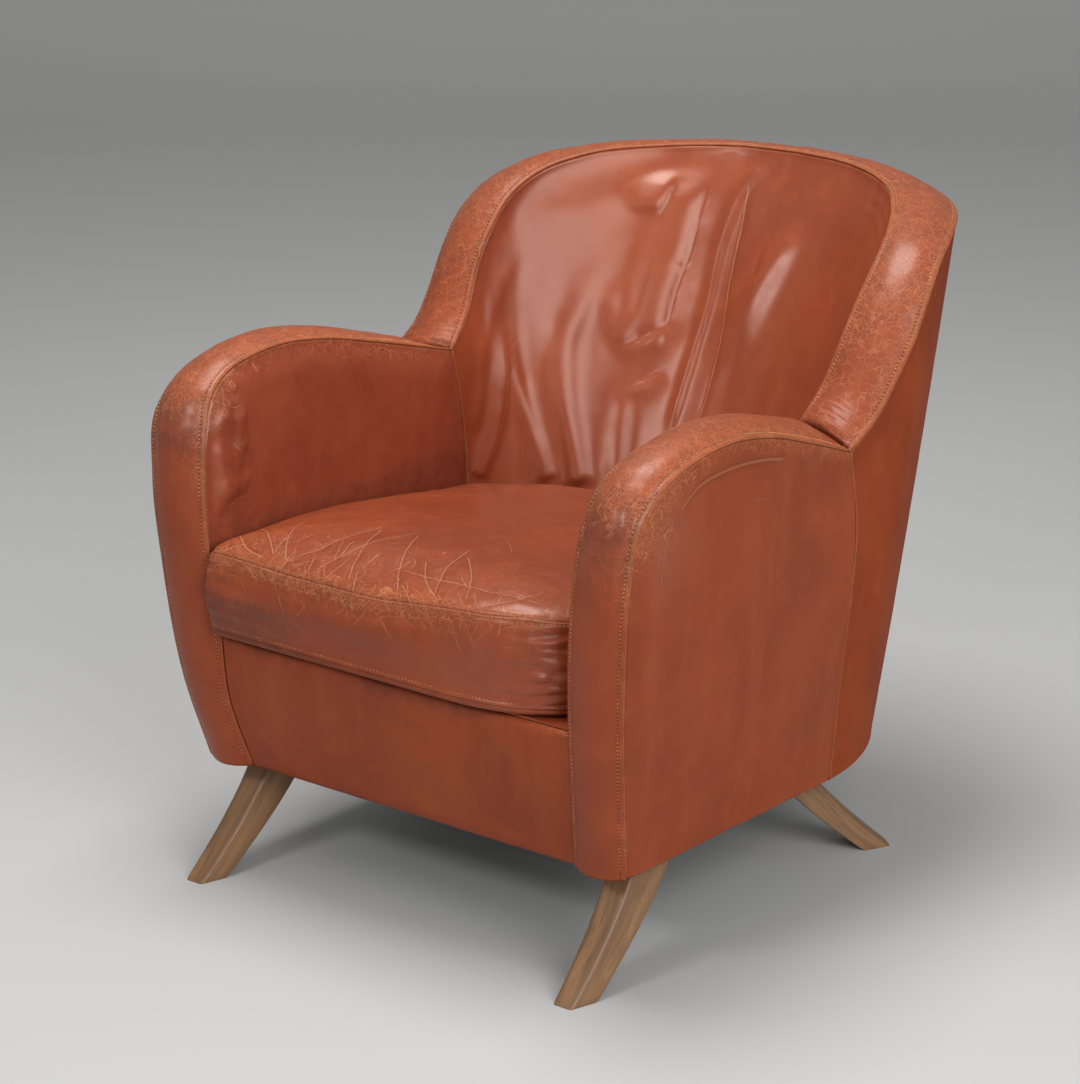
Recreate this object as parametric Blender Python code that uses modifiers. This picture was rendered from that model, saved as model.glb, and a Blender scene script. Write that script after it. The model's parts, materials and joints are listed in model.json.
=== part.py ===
"""Worn club chair: a tub-shaped leather armchair on four splayed wooden legs.

Metres, +Z up.  The chair faces -Y, and +X is to the right of a viewer in front of it.
The origin is on the floor, under the middle of the chair's outline.  The chair is built as
an upholsterer builds it: frame, lining, foam, then the leather covers, panel by panel.
"""
import math

import bmesh
import bpy
import numpy as np

# ---------------------------------------------------------------- driving dimensions
BODY_BOTTOM = 0.1379      # underside of the covers above the floor
BODY_HALF_WIDTH = 0.3186  # outer covers at the bottom edge
TUB_CENTRE_Y = 0.005      # centre of the round rear outline at the bottom edge
SIDE_SEAM_Y = 0.0155      # upright seam between the arm's outside and the outside back
DECK_FRONT_Z = 0.312      # top of the seat platform at its front edge
DECK_REAR_Z = 0.276       # and at its rear edge
DECK_FRONT_Y = -0.406
DECK_REAR_Y = 0.125       # middle of the curved rear edge
DECK_CORNER_Y = 0.0425    # its two rear corners
DECK_HALF_WIDTH = 0.2625

LEATHER = 0.0020          # cover thickness
GAP = 0.0003              # clearance between layers that touch
SEAM_GAP = 0.0032         # a panel stops this far under the seam of the band above it
BAND_CROWN = 0.013        # rise of the padded band between its two seams
BAND_CROWN_TOP = 0.010    # the same along the top of the back
CREASE_CROWN = 0.0        # what is left of the rise in the fold between arm and back
BAND_FOAM_DEPTH = 0.0140  # band foam below the line between the two seams
RIM_BOARD = 0.0040        # bent board that carries the band foam
RIM_RAIL_DEPTH = 0.0400   # underside of the frame member below that line
SHOULDER_HEIGHT = 0.450   # where the front post ends and the arm rail begins
INSET = 0.0215            # foam and lining of a panel stop this far under the seam
ARM_FOAM = 0.0150
BACK_FOAM = 0.0300
LINING = 0.0030
DECK_PAD = 0.0140
STRAP = 0.0015

PANEL_ROWS = 5
ARM_STATIONS = 24
BACK_STATIONS = 28
BAND_COLUMNS = 5

# Seam lines of the right-hand half (+X).  Each list holds only the points the curve bends at.
JUNCTION_INNER = (0.2646, 0.015, 0.5715)
JUNCTION_OUTER = (0.3510, -0.006, 0.5570)
ARM_OUTER_SEAM = (
    (0.3186, -0.378, 0.139), (0.3340, -0.4025, 0.236), (0.3470, -0.421, 0.384),
    (0.3560, -0.4238, 0.496), (0.3610, -0.4115, 0.5665), (0.3635, -0.375, 0.600),
    (0.3645, -0.325, 0.618), (0.3655, -0.258, 0.6255), (0.3645, -0.181, 0.615),
    (0.3585, -0.100, 0.590), JUNCTION_OUTER)
ARM_INNER_SEAM = (
    (0.2475, -0.380, 0.139), (0.2620, -0.404, 0.230), (0.2645, -0.413, 0.330),
    (0.2720, -0.4215, 0.430), (0.2760, -0.4195, 0.490), (0.2810, -0.4115, 0.550),
    (0.2885, -0.392, 0.595), (0.2940, -0.360, 0.615), (0.2960, -0.310, 0.627),
    (0.2940, -0.260, 0.631), (0.2860, -0.200, 0.626), (0.2760, -0.120, 0.608),
    JUNCTION_INNER)
BACK_INNER_SEAM = (
    JUNCTION_INNER, (0.2715, 0.050, 0.610), (0.2785, 0.079, 0.665),
    (0.2800, 0.107, 0.705), (0.2780, 0.145, 0.744), (0.2660, 0.186, 0.769),
    (0.2330, 0.243, 0.7875), (0.1650, 0.319, 0.795), (0.0850, 0.361, 0.799),
    (0.0, 0.373, 0.800))
BACK_OUTER_SEAM = (
    JUNCTION_OUTER, (0.3530, 0.047, 0.5886), (0.3560, 0.078, 0.6255),
    (0.3600, 0.105, 0.664), (0.3585, 0.133, 0.7056), (0.3490, 0.171, 0.7416),
    (0.3270, 0.231, 0.764), (0.2700, 0.325, 0.773), (0.1700, 0.406, 0.775),
    (0.0850, 0.4385, 0.776), (0.0, 0.449, 0.776))
INSIDE_CORNER_SEAM = (
    (DECK_HALF_WIDTH, DECK_CORNER_Y, 0.282), (0.2625, 0.040, 0.400),
    (0.2625, 0.032, 0.488), JUNCTION_INNER)
SIDE_SEAM = (
    (BODY_HALF_WIDTH, SIDE_SEAM_Y, BODY_BOTTOM), (0.3310, SIDE_SEAM_Y, 0.270),
    (0.3420, 0.0160, 0.370), (0.3470, 0.0175, 0.460), JUNCTION_OUTER)

APRON_RECESS = 0.004
APRON_SIDE_GAP = 0.0032
STRAP_WIDTH = 0.050
STRAP_PITCH = 0.130
SIDES = ((1, "right"), (-1, "left"))

# Seat cushion
CUSHION_FRONT_Y = -0.432
CUSHION_REAR_Y = 0.118
CUSHION_CORNER_Y = 0.036
CUSHION_HALF_FRONT = 0.2635
CUSHION_HALF_REAR = 0.2600
CUSHION_BOXING = 0.112    # height of the upper seam above the platform
CUSHION_CROWN = 0.042     # further rise of the top in the middle
CUSHION_BULGE = 0.0012    # how far the boxing swells beyond its seams
CUSHION_CORNER = 0.024    # corner radius in plan
CUSHION_POINTS = 34
ZIP_HALF_LENGTH = 0.150
ZIP_HALF_WIDTH = 0.004

# Frame
BOARD = 0.022
FRONT_RAIL_Y = -0.345
SIDE_RAIL_X = 0.249
SEAT_REAR_RAIL_Y = 0.161
FRAME_BOTTOM = BODY_BOTTOM
REAR_RAIL_OUTER = 0.3108
REAR_RAIL_THICKNESS = 0.0112
REAR_RAIL_TOP = 0.245
POST_DEPTH = 0.034
POST_WIDTH = 0.028
REAR_POST_TOP = 0.520
FRONT_RAIL_HALF = 0.2690
SEAT_REAR_RAIL_HALF = 0.2475
SEAT_REAR_RAIL_BOTTOM = 0.185
BLOCK = 0.068
BLOCK_RISE = 0.052
FRONT_BLOCK_WIDTH = 0.045
DUST_COVER = 0.0010
DUST_FRONT_Y = -0.370

# Legs: half sections at the floor and at the top, from the toe (narrow) to the heel (wide)
LEG_TOP = 0.1363
LEG_SWEEP = 0.117
LEG_TOE_WIDTH = 0.026
LEG_HEEL_WIDTH = 0.0465
LEG_LENGTH = 0.0375
LEG_TOP_TOE_WIDTH = 0.036
LEG_TOP_HEEL_WIDTH = 0.068
LEG_TOP_LENGTH = 0.050
LEG_LEAN_IN = 0.009
FRONT_TOE = (0.2845, -0.450)
REAR_TOE = (0.2940, 0.184)
REAR_LEG_TURN = math.radians(40.0)
LEG_CURVE = 1.15
LEG_EDGE = 0.0025
BOLT_RADIUS = 0.004
BOLT_BELOW = 0.030
BOLT_ABOVE = 0.034
FRONT_BOLT = (0.276, -0.306)
REAR_BOLT = (0.205, 0.077)

LEATHER_COLOUR = (0.300, 0.085, 0.035)
FINISHES = {
    "leather": (LEATHER_COLOUR, 0.42, 0.0),
    "oak_stained": ((0.200, 0.140, 0.085), 0.45, 0.0),
    "beech": ((0.560, 0.400, 0.240), 0.60, 0.0),
    "plywood": ((0.500, 0.350, 0.200), 0.65, 0.0),
    "foam": ((0.750, 0.680, 0.480), 0.95, 0.0),
    "fibreboard": ((0.230, 0.160, 0.100), 0.85, 0.0),
    "webbing": ((0.100, 0.090, 0.080), 0.90, 0.0),
    "lining_cloth": ((0.030, 0.030, 0.032), 0.95, 0.0),
    "zinc_steel": ((0.560, 0.570, 0.580), 0.35, 1.0),
}


MIRROR = np.array([-1.0, 1.0, 1.0])


# ---------------------------------------------------------------- curves and grids of points
def spaced(points, shares):
    """Points at the given shares of a polyline's length."""
    length = np.concatenate([[0.0], np.cumsum(np.linalg.norm(np.diff(points, axis=0), axis=1))])
    at = np.asarray(shares) * length[-1]
    return np.stack([np.interp(at, length, points[:, axis]) for axis in range(3)], axis=1)


def smooth_curve(knots, shares):
    """Points at the given shares of a smooth curve through the knots."""
    knots = np.asarray(knots, dtype=float)
    chord = np.concatenate([[0.0], np.cumsum(np.linalg.norm(np.diff(knots, axis=0), axis=1))])
    slope = np.gradient(knots, chord, axis=0)
    fine = np.linspace(0.0, chord[-1], 40 * len(knots))
    index = np.clip(np.searchsorted(chord, fine, side="right") - 1, 0, len(knots) - 2)
    span = (chord[index + 1] - chord[index])[:, None]
    t = (fine - chord[index])[:, None] / span
    points = ((2 * t ** 3 - 3 * t ** 2 + 1) * knots[index]
              + (t ** 3 - 2 * t ** 2 + t) * span * slope[index]
              + (3 * t ** 2 - 2 * t ** 3) * knots[index + 1]
              + (t ** 3 - t ** 2) * span * slope[index + 1])
    return spaced(points, shares)


def both_halves(half):
    """A curve of the right half that ends on the middle plane, with its mirror image added."""
    return np.concatenate([half, half[::-1][1:] * MIRROR])


def unit(vectors):
    return vectors / np.linalg.norm(vectors, axis=-1, keepdims=True)


def rim(inner, outer):
    """The outward direction of the band at each station of its two seams."""
    middle = (inner + outer) / 2
    along = np.gradient(middle, axis=0)
    return unit(np.cross(outer - inner, along))


def grid_normals(grid):
    """Outward directions of a grid of points whose rows run up and columns to the right."""
    return unit(np.cross(np.gradient(grid, axis=1), np.gradient(grid, axis=0)))


def sunk(grid, depth):
    """The grid moved inwards by a depth."""
    return grid - depth * grid_normals(grid)


def mirrored(grid):
    """The grid of the other side of the chair, still facing outwards."""
    return grid[:, ::-1] * MIRROR


def arch_profile(columns):
    """Shares across a padded band and how far it has risen at each."""
    across = np.linspace(0.0, 1.0, columns + 1)
    return across, 1 - np.abs(2 * across - 1) ** 2.2


def band(inner, outer, crown, columns):
    """A padded strip between two seams, arched by the crown at each station."""
    across, rise = arch_profile(columns)
    base = inner[:, None] + (outer - inner)[:, None] * across[None, :, None]
    lift = np.broadcast_to(crown, len(inner))[:, None] * rise[None, :]
    return base + lift[..., None] * rim(inner, outer)[:, None]


def panel(base, top, under, rows, first=None, last=None):
    """A grid from a base line up to a seam, whose last but one row is the line under the seam.

    first and last are the curves that the end columns follow, in place of straight lines.
    """
    shares = np.linspace(0.0, 1.0, rows)[:, None, None]
    grid = base[None] + (under - base)[None] * shares
    grid = np.concatenate([grid, top[None]])
    along = np.linspace(0.0, 1.0, len(base))[None]
    reach = 3.0 + 60.0 * np.linspace(0.0, 1.0, rows + 1)[:, None] ** 2
    for curve, column, near in ((first, 0, 1 - along), (last, -1, along)):
        if curve is not None:
            shift = edge_rows(curve, grid[:, column]) - grid[:, column]
            grid = grid + shift[:, None] * (near ** reach)[..., None]
    return grid


def edge_rows(curve, column):
    """The points of a rising curve at the heights of a column's points."""
    return np.stack([np.interp(column[:, 2], curve[:, 2], curve[:, axis]) for axis in range(3)],
                    axis=1)


def bulged(grid, height):
    """The grid pushed outwards in its middle."""
    rows, columns = grid.shape[:2]
    up = np.sin(np.pi * np.linspace(0.0, 1.0, rows))
    right = np.sin(np.pi * np.linspace(0.0, 1.0, columns))
    return grid + (height * up[:, None] * right[None])[..., None] * grid_normals(grid)


# ---------------------------------------------------------------- Blender objects
def clear_scene():
    for thing in list(bpy.data.objects):
        bpy.data.objects.remove(thing, do_unlink=True)


def make_collection(name):
    collection = bpy.data.collections.new(name)
    bpy.context.scene.collection.children.link(collection)
    return collection


def finish(name):
    """The material of a finish, made once."""
    if name in bpy.data.materials:
        return bpy.data.materials[name]
    colour, roughness, metallic = FINISHES[name]
    material = bpy.data.materials.new(name)
    material.use_nodes = True
    shader = material.node_tree.nodes["Principled BSDF"]
    shader.inputs["Base Color"].default_value = (*colour, 1.0)
    shader.inputs["Roughness"].default_value = roughness
    shader.inputs["Metallic"].default_value = metallic
    return material


def add_object(name, points, faces, finish_name, smooth=False):
    """A mesh object from its points and faces."""
    mesh = bpy.data.meshes.new(name)
    mesh.from_pydata([tuple(point) for point in points], [], faces)
    mesh.update()
    if smooth:
        mesh.shade_smooth()
    mesh.materials.append(finish(finish_name))
    thing = bpy.data.objects.new(name, mesh)
    PARTS.objects.link(thing)
    return thing


def grid_faces(rows, columns):
    """Quads of a grid of points, facing outwards."""
    corners = [(row * columns + column) for row in range(rows - 1) for column in range(columns - 1)]
    return [(c, c + 1, c + columns + 1, c + columns) for c in corners]


def sheet(name, grid, thickness, finish_name):
    """A shell on a grid of points, thickened inwards."""
    rows, columns = grid.shape[:2]
    thing = add_object(name, grid.reshape(-1, 3), grid_faces(rows, columns), finish_name, True)
    solidify = thing.modifiers.new("thickness", "SOLIDIFY")
    solidify.thickness = thickness
    solidify.offset = -1.0
    return thing


def slab(name, front, back, finish_name):
    """A solid between two grids of the same size, the first one facing outwards."""
    rows, columns = front.shape[:2]
    count = rows * columns
    faces = grid_faces(rows, columns)
    faces += [tuple(count + index for index in reversed(face)) for face in faces]
    edge = [row * columns for row in range(rows)]
    edge += [(rows - 1) * columns + column for column in range(1, columns)]
    edge += [row * columns + columns - 1 for row in range(rows - 2, -1, -1)]
    edge += list(range(columns - 2, 0, -1))
    for here, there in zip(edge, edge[1:] + edge[:1]):
        faces.append((here, there, count + there, count + here))
    points = np.concatenate([front.reshape(-1, 3), back.reshape(-1, 3)])
    return add_object(name, points, faces, finish_name, True)


def folded_in(points, quad):
    """A twisted quad as two triangles, split so that the solid stays within its ruled side."""
    a, b, c, d = (points[index] for index in quad)
    outward = np.cross(c - a, d - b)
    if np.dot(a + c - b - d, outward) <= 0.0:
        return [(quad[0], quad[1], quad[2]), (quad[0], quad[2], quad[3])]
    return [(quad[0], quad[1], quad[3]), (quad[1], quad[2], quad[3])]


def loft(name, rings, finish_name, smooth=False):
    """A solid through closed rings of points, with flat ends; rings turn left about their path."""
    count = len(rings[0])
    points = np.concatenate(rings)
    faces = [tuple(reversed(range(count)))]
    for level in range(len(rings) - 1):
        low = level * count
        for here in range(count):
            there = (here + 1) % count
            quad = (low + here, low + there, low + count + there, low + count + here)
            faces += folded_in(points, quad)
    top = (len(rings) - 1) * count
    faces.append(tuple(range(top, top + count)))
    return add_object(name, points, faces, finish_name, smooth)


def box(name, centre, size, finish_name):
    """A board with its centre and size given."""
    mesh = bpy.data.meshes.new(name)
    shape = bmesh.new()
    bmesh.ops.create_cube(shape, size=1.0)
    bmesh.ops.scale(shape, vec=size, verts=shape.verts)
    shape.to_mesh(mesh)
    shape.free()
    mesh.materials.append(finish(finish_name))
    thing = bpy.data.objects.new(name, mesh)
    thing.location = centre
    PARTS.objects.link(thing)
    return thing


def cylinder(name, centre, radius, height, finish_name, collection=None):
    mesh = bpy.data.meshes.new(name)
    shape = bmesh.new()
    bmesh.ops.create_cone(shape, cap_ends=True, segments=24, radius1=radius, radius2=radius,
                          depth=height)
    shape.to_mesh(mesh)
    shape.free()
    mesh.materials.append(finish(finish_name))
    thing = bpy.data.objects.new(name, mesh)
    thing.location = centre
    (collection or PARTS).objects.link(thing)
    return thing


def drill(thing, centre, radius, height):
    """Cuts a round hole through or into an object."""
    cutter = cylinder(thing.name + "_drill", centre, radius, height, "zinc_steel", CUTTERS)
    subtract(thing, cutter)


def subtract(thing, cutter):
    cutter.hide_render = True
    cutter.display_type = "WIRE"
    cut = thing.modifiers.new("cut", "BOOLEAN")
    cut.operation = "DIFFERENCE"
    cut.object = cutter


# ---------------------------------------------------------------- the rim and its layers
def arm_seams(shares):
    return smooth_curve(ARM_INNER_SEAM, shares), smooth_curve(ARM_OUTER_SEAM, shares)


def stations(seams, start, end, count):
    """Shares of a rim's length, closer together where it turns more."""
    fine = np.linspace(start, end, 240)
    inner, outer = seams(fine)
    steps = np.diff((inner + outer) / 2, axis=0)
    length = np.linalg.norm(steps, axis=1)
    turning = np.linalg.norm(np.diff(unit(steps), axis=0), axis=1)
    turning = np.append(turning, turning[-1:])
    worth = np.append([0.0], np.cumsum(length / length.sum() + turning / turning.sum()))
    return np.interp(np.linspace(0.0, worth[-1], count), worth, fine)


def arm_stations():
    return stations(arm_seams, 0.0, 0.9992, ARM_STATIONS)


def back_stations():
    """Stations from the right junction to the middle of the back's top."""
    def half(shares):
        return (smooth_curve(BACK_INNER_SEAM, shares), smooth_curve(BACK_OUTER_SEAM, shares))
    return stations(half, 0.0012, 1.0, BACK_STATIONS // 2 + 1)


def back_seams(shares):
    """The back band's seams from the right junction over the top to the left one."""
    inner = both_halves(smooth_curve(BACK_INNER_SEAM, shares))
    outer = both_halves(smooth_curve(BACK_OUTER_SEAM, shares))
    return inner, outer


def arm_crown(shares):
    """The band's rise: full, but pressed into the crease at the back."""
    fold = np.clip((shares - 0.93) / 0.07, 0.0, 1.0)
    return BAND_CROWN + (CREASE_CROWN - BAND_CROWN) * fold


def back_crown(shares):
    """The rise of the back's band, flatter along the top, from crease to crease."""
    fold = np.clip((0.07 - shares) / 0.07, 0.0, 1.0)
    top = BAND_CROWN_TOP + (BAND_CROWN - BAND_CROWN_TOP) * np.clip(1.4 - 2 * shares, 0.0, 1.0)
    rise = top + (CREASE_CROWN - top) * fold
    return np.concatenate([rise, rise[::-1][1:]])


def rim_ring(inner, outer, normal, left, right, high, low):
    """A four-cornered section across the rim, between two shares of its width and two depths."""
    start = inner + (outer - inner) * left
    end = inner + (outer - inner) * right
    return np.array([start - high * normal, end - high * normal,
                     end - low * normal, start - low * normal])


def rim_bar(name, inner, outer, widths, depths, finish_name, span=(None, None)):
    """A member that follows the rim under the band, over a span of its stations."""
    normals = rim(inner, outer)
    rings = [rim_ring(i, o, n, *widths, *depths) for i, o, n in zip(inner, outer, normals)]
    rings = rings[span[0]:span[1]]
    if span[0]:
        rings[0] = rings[0] + 0.02 * (rings[1] - rings[0])
    return loft(name, rings, finish_name)


def band_foam(name, inner, outer, crown):
    """Foam that fills the band: arched on top, flat where it lies on the rim board."""
    normals = rim(inner, outer)
    across = np.linspace(0.0, 1.0, BAND_COLUMNS + 1)[1:-1]
    across = np.concatenate([[0.06], across, [0.94]])
    rise = np.interp(across, *arch_profile(BAND_COLUMNS))
    under_cover = LEATHER + GAP + 0.0022
    rings = []
    for i, o, n, height in zip(inner, outer, normals, crown):
        arch = [i + (o - i) * share + (height * up - under_cover) * n
                for share, up in zip(across, rise)]
        base = [i + (o - i) * share - BAND_FOAM_DEPTH * n for share in (0.90, 0.10)]
        rings.append(np.array(arch + base))
    return loft(name, rings, "foam", True)


def add_arm_rim(side, suffix):
    """Cover, foam, board, rail and front post of one arm's rim, from the foot to the fold."""
    inner, outer = arm_seams(arm_stations())
    crown = arm_crown(arm_stations())
    rail_widths, post_widths = (0.34, 0.74), (0.33, 0.84)
    if side < 0:
        inner, outer = outer * MIRROR, inner * MIRROR
        rail_widths, post_widths = (0.26, 0.66), (0.16, 0.67)
    board = BAND_FOAM_DEPTH + GAP
    rail = board + RIM_BOARD + GAP
    shoulder = int(np.argmax(inner[:, 2] > SHOULDER_HEIGHT))
    sheet("arm_band_" + suffix, band(inner, outer, crown, BAND_COLUMNS), LEATHER, "leather")
    band_foam("arm_band_foam_" + suffix, inner, outer, crown)
    rim_bar("arm_rim_board_" + suffix, inner, outer, (0.12, 0.88), (board, board + RIM_BOARD),
            "plywood")
    rim_bar("arm_rail_" + suffix, inner, outer, rail_widths, (rail, RIM_RAIL_DEPTH), "beech",
            (shoulder, None))
    rim_bar("front_post_" + suffix, inner, outer, post_widths, (rail, RIM_RAIL_DEPTH + 0.006),
            "beech", (None, shoulder + 1))


def add_back_rim():
    """Cover, foam, board and hoop of the back's rim, in one sweep from arm to arm."""
    inner, outer = back_seams(back_stations())
    crown = back_crown(back_stations())
    depth_board = BAND_FOAM_DEPTH + GAP
    depth_rail = depth_board + RIM_BOARD + GAP
    sheet("back_band", band(inner, outer, crown, BAND_COLUMNS), LEATHER, "leather")
    band_foam("back_band_foam", inner, outer, crown)
    rim_bar("back_rim_board", inner, outer, (0.12, 0.88),
            (depth_board, depth_board + RIM_BOARD), "plywood")
    rim_bar("back_hoop", inner, outer, (0.44, 0.76), (depth_rail, RIM_RAIL_DEPTH), "beech")


# ---------------------------------------------------------------- panels
def deck_height(y):
    slope = (DECK_REAR_Z - DECK_FRONT_Z) / (DECK_REAR_Y - DECK_FRONT_Y)
    return DECK_FRONT_Z + (y - DECK_FRONT_Y) * slope


def seam_share_at(height):
    """The share of the arm's inner seam that has run when it reaches a height."""
    shares = np.linspace(0.0, 0.5, 200)
    return float(np.interp(height, arm_seams(shares)[0][:, 2], shares))


def seam_below(inner, outer, seam, depth=SEAM_GAP):
    """A seam moved in by the depth at which a panel or its filling ends under the band."""
    return seam - depth * rim(inner, outer)


def rising(knots, forward):
    """An upright seam as a fine curve, moved forwards a little."""
    return smooth_curve(knots, np.linspace(0.0, 1.0, 40)) - np.array([0.0, forward, 0.0])


def arm_inside_seams():
    """The band's seams from the height of the platform to the fold, at the band's stations."""
    start = seam_share_at(DECK_FRONT_Z + 0.006)
    shares = arm_stations()
    return arm_seams(np.append([start], shares[shares > start + 0.012]))


def arm_inside_grid():
    """The panel that faces the seat, from the platform up to the band."""
    inner, outer = arm_inside_seams()
    top = seam_below(inner, outer, inner)
    under = seam_below(inner, outer, inner, INSET)
    start = top[0] + np.array([0.0, INSET + 0.012, 0.0])
    end = np.array([DECK_HALF_WIDTH, DECK_CORNER_Y - GAP, DECK_REAR_Z])
    base = start + (end - start) * np.linspace(0.0, 1.0, len(top))[:, None]
    base[:, 2] = deck_height(base[:, 1]) + GAP
    return panel(base, top, under, PANEL_ROWS, None, rising(INSIDE_CORNER_SEAM, 3 * GAP))[:, ::-1]


def arm_outside_grid():
    """The panel on the arm's outer side, from the bottom edge up to the band."""
    inner, outer = arm_seams(np.maximum(arm_stations(), 0.012))
    top = seam_below(inner, outer, outer)
    under = seam_below(inner, outer, outer, INSET)
    start = np.array([BODY_HALF_WIDTH, top[0][1] + INSET + 0.010, BODY_BOTTOM])
    end = np.array([BODY_HALF_WIDTH, SIDE_SEAM_Y - 3 * GAP, BODY_BOTTOM])
    base = start + (end - start) * np.linspace(0.0, 1.0, ARM_STATIONS)[:, None] ** 1.25
    return panel(base, top, under, PANEL_ROWS, None, rising(SIDE_SEAM, 3 * GAP))


def deck_rear_line(count, forward):
    """The curved line where the inside back meets the seat platform."""
    turn = np.linspace(-1.0, 1.0, count)
    x = DECK_HALF_WIDTH * turn
    y = DECK_REAR_Y + (DECK_CORNER_Y - DECK_REAR_Y) * turn ** 2 - forward
    return np.stack([x, y, deck_height(y)], axis=1)


def back_top(choice):
    """The back's seam that a panel hangs from, at the band's own stations, and the line under it."""
    inner, outer = back_seams(back_stations())
    seam = (inner, outer)[choice]
    return seam_below(inner, outer, seam), seam_below(inner, outer, seam, INSET)


def inside_back_grid():
    """The reclined inside of the tub, from the platform up to the rim's inner seam."""
    top, under = back_top(0)
    base = deck_rear_line(BACK_STATIONS + 1, 0.0) + np.array([0.0, GAP, GAP])
    corner = rising(INSIDE_CORNER_SEAM, -GAP)
    return panel(base, top[::-1], under[::-1], 8, corner * MIRROR, corner)


def folded(grid):
    """Long soft folds that fan up the inside back, and the puffs between them."""
    rows, columns = grid.shape[:2]
    up = np.linspace(0.0, 1.0, rows)[:, None]
    right = np.linspace(-1.0, 1.0, columns)[None]
    lean = right - 0.10 * (up - 0.5)
    waves = np.cos(lean * math.pi * 7.0) * np.exp(-(lean / 0.55) ** 2)
    swell = np.sin(math.pi * np.clip(up, 0.0, 1.0)) ** 0.7
    lift = 0.0035 * waves * swell + 0.006 * swell * np.cos(right * math.pi / 2)
    return grid + lift[..., None] * grid_normals(grid)


def outside_back_grid():
    """The outside of the tub, from the bottom edge up to the rim's outer seam."""
    top, under = back_top(1)
    side = back_stations() ** 1.6
    start = math.asin((SIDE_SEAM_Y + GAP - TUB_CENTRE_Y) / BODY_HALF_WIDTH)
    angle = start + (math.pi / 2 - start) * side
    half = np.stack([BODY_HALF_WIDTH * np.cos(angle),
                     TUB_CENTRE_Y + BODY_HALF_WIDTH * np.sin(angle),
                     np.full_like(angle, BODY_BOTTOM)], axis=1)
    seam = rising(SIDE_SEAM, -GAP)
    grid = panel(both_halves(half), top, under, PANEL_ROWS, seam, seam * MIRROR)
    turn = np.abs(np.concatenate([side - 1, (1 - side)[::-1][1:]]))
    up = np.sin(math.pi * np.linspace(0.0, 1.0, len(grid)))
    swell = 0.008 * (turn ** 2 * (1 - turn ** 6))[None] * up[:, None]
    return grid + swell[..., None] * grid_normals(grid)


def padding(front, inner, outer, thickness):
    """A foam's rear face: straight behind its front, but level with the rim board at the top."""
    across = unit(outer - inner)
    rows = len(front)
    level = (np.linspace(0.0, 1.0, rows) ** 2)[:, None, None]
    way = unit((1 - level) * -grid_normals(front) + level * across[None])
    return front + thickness * way


def add_arm_panels(side, suffix):
    """Leather and foam on the inside of one arm, leather and board on its outside."""
    inside = arm_inside_grid()
    outside = bulged(arm_outside_grid(), 0.004)
    inner, outer = arm_inside_seams()
    front = sunk(inside, LEATHER + GAP)[:-1]
    back = padding(front, inner[::-1], outer[::-1], ARM_FOAM)
    front, back = front[:, 1:-2], back[:, 1:-2]
    lining = sunk(outside, LEATHER + GAP)[:-1, 3:]
    if side < 0:
        inside, outside = mirrored(inside), mirrored(outside)
        front, back, lining = mirrored(front), mirrored(back), mirrored(lining)
    sheet("arm_inside_" + suffix, inside, LEATHER, "leather")
    slab("arm_inside_foam_" + suffix, front, back, "foam")
    sheet("arm_outside_" + suffix, outside, LEATHER, "leather")
    sheet("arm_outside_lining_" + suffix, lining, LINING, "fibreboard")


def add_back_panels():
    """Leather, foam, straps and lining of the back."""
    inside = folded(inside_back_grid())
    outside = outside_back_grid()
    inner, outer = back_seams(back_stations())
    sheet("inside_back", inside, LEATHER, "leather")
    front = sunk(inside, LEATHER + GAP)[:-1]
    back = padding(front, inner[::-1], outer[::-1], BACK_FOAM)
    slab("back_foam", front[:, 1:-1], back[:, 1:-1], "foam")
    behind = back[:, 2:-2] - 5 * GAP * grid_normals(back)[:, 2:-2]
    for number, row in enumerate((2, 4), start=1):
        middle = (behind[row] + behind[row + 1]) / 2
        strap = middle + 0.6 * (behind[row:row + 2] - middle)
        sheet("back_strap_%d" % number, strap, STRAP, "webbing")
    sheet("outside_back", outside, LEATHER, "leather")
    sheet("outside_back_lining", sunk(outside, LEATHER + GAP)[:-1], LINING, "fibreboard")


def apron_grid():
    """The leather front under the cushion, set back a little from the arms' bands."""
    across = np.linspace(-1.0, 1.0, 9)
    heights = np.append(np.linspace(BODY_BOTTOM, deck_under(DECK_FRONT_Y, DECK_PAD), 6),
                        DECK_FRONT_Z - LEATHER - 2 * GAP)
    inner, _ = arm_seams([max(seam_share_at(height), 0.004) for height in heights])
    grid = np.zeros((len(heights), len(across), 3))
    grid[..., 0] = across[None] * (inner[:, 0] - APRON_SIDE_GAP)[:, None]
    grid[..., 1] = (inner[:, 1] + APRON_RECESS)[:, None]
    grid[..., 2] = heights[:, None]
    return grid


def add_apron():
    cover = apron_grid()
    sheet("front_apron", cover, LEATHER, "leather")
    front = sunk(cover, LEATHER + GAP)[:-1]
    back = front.copy()
    back[..., 1] = FRONT_RAIL_Y - BOARD / 2 - GAP
    back[-1, :, 2] = deck_under(back[-1, :, 1], DECK_PAD)
    slab("apron_foam", front, back, "foam")


# ---------------------------------------------------------------- seat platform
def deck_under(y, extra=0.0):
    """Height of the underside of the platform's leather, or of a layer under it."""
    return deck_height(y) - LEATHER - GAP - (extra + 2 * GAP if extra else 0.0)


def deck_grid():
    count = 13
    rear = deck_rear_line(count, 2 * GAP)
    rear[:, 0] *= (DECK_HALF_WIDTH - 2 * GAP) / DECK_HALF_WIDTH
    front = rear.copy()
    front[:, 1] = DECK_FRONT_Y
    steps = np.linspace(0.0, 1.0, 5)[:, None, None]
    grid = front[None] + (rear - front)[None] * steps
    grid[..., 2] = deck_height(grid[..., 1])
    return grid


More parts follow.
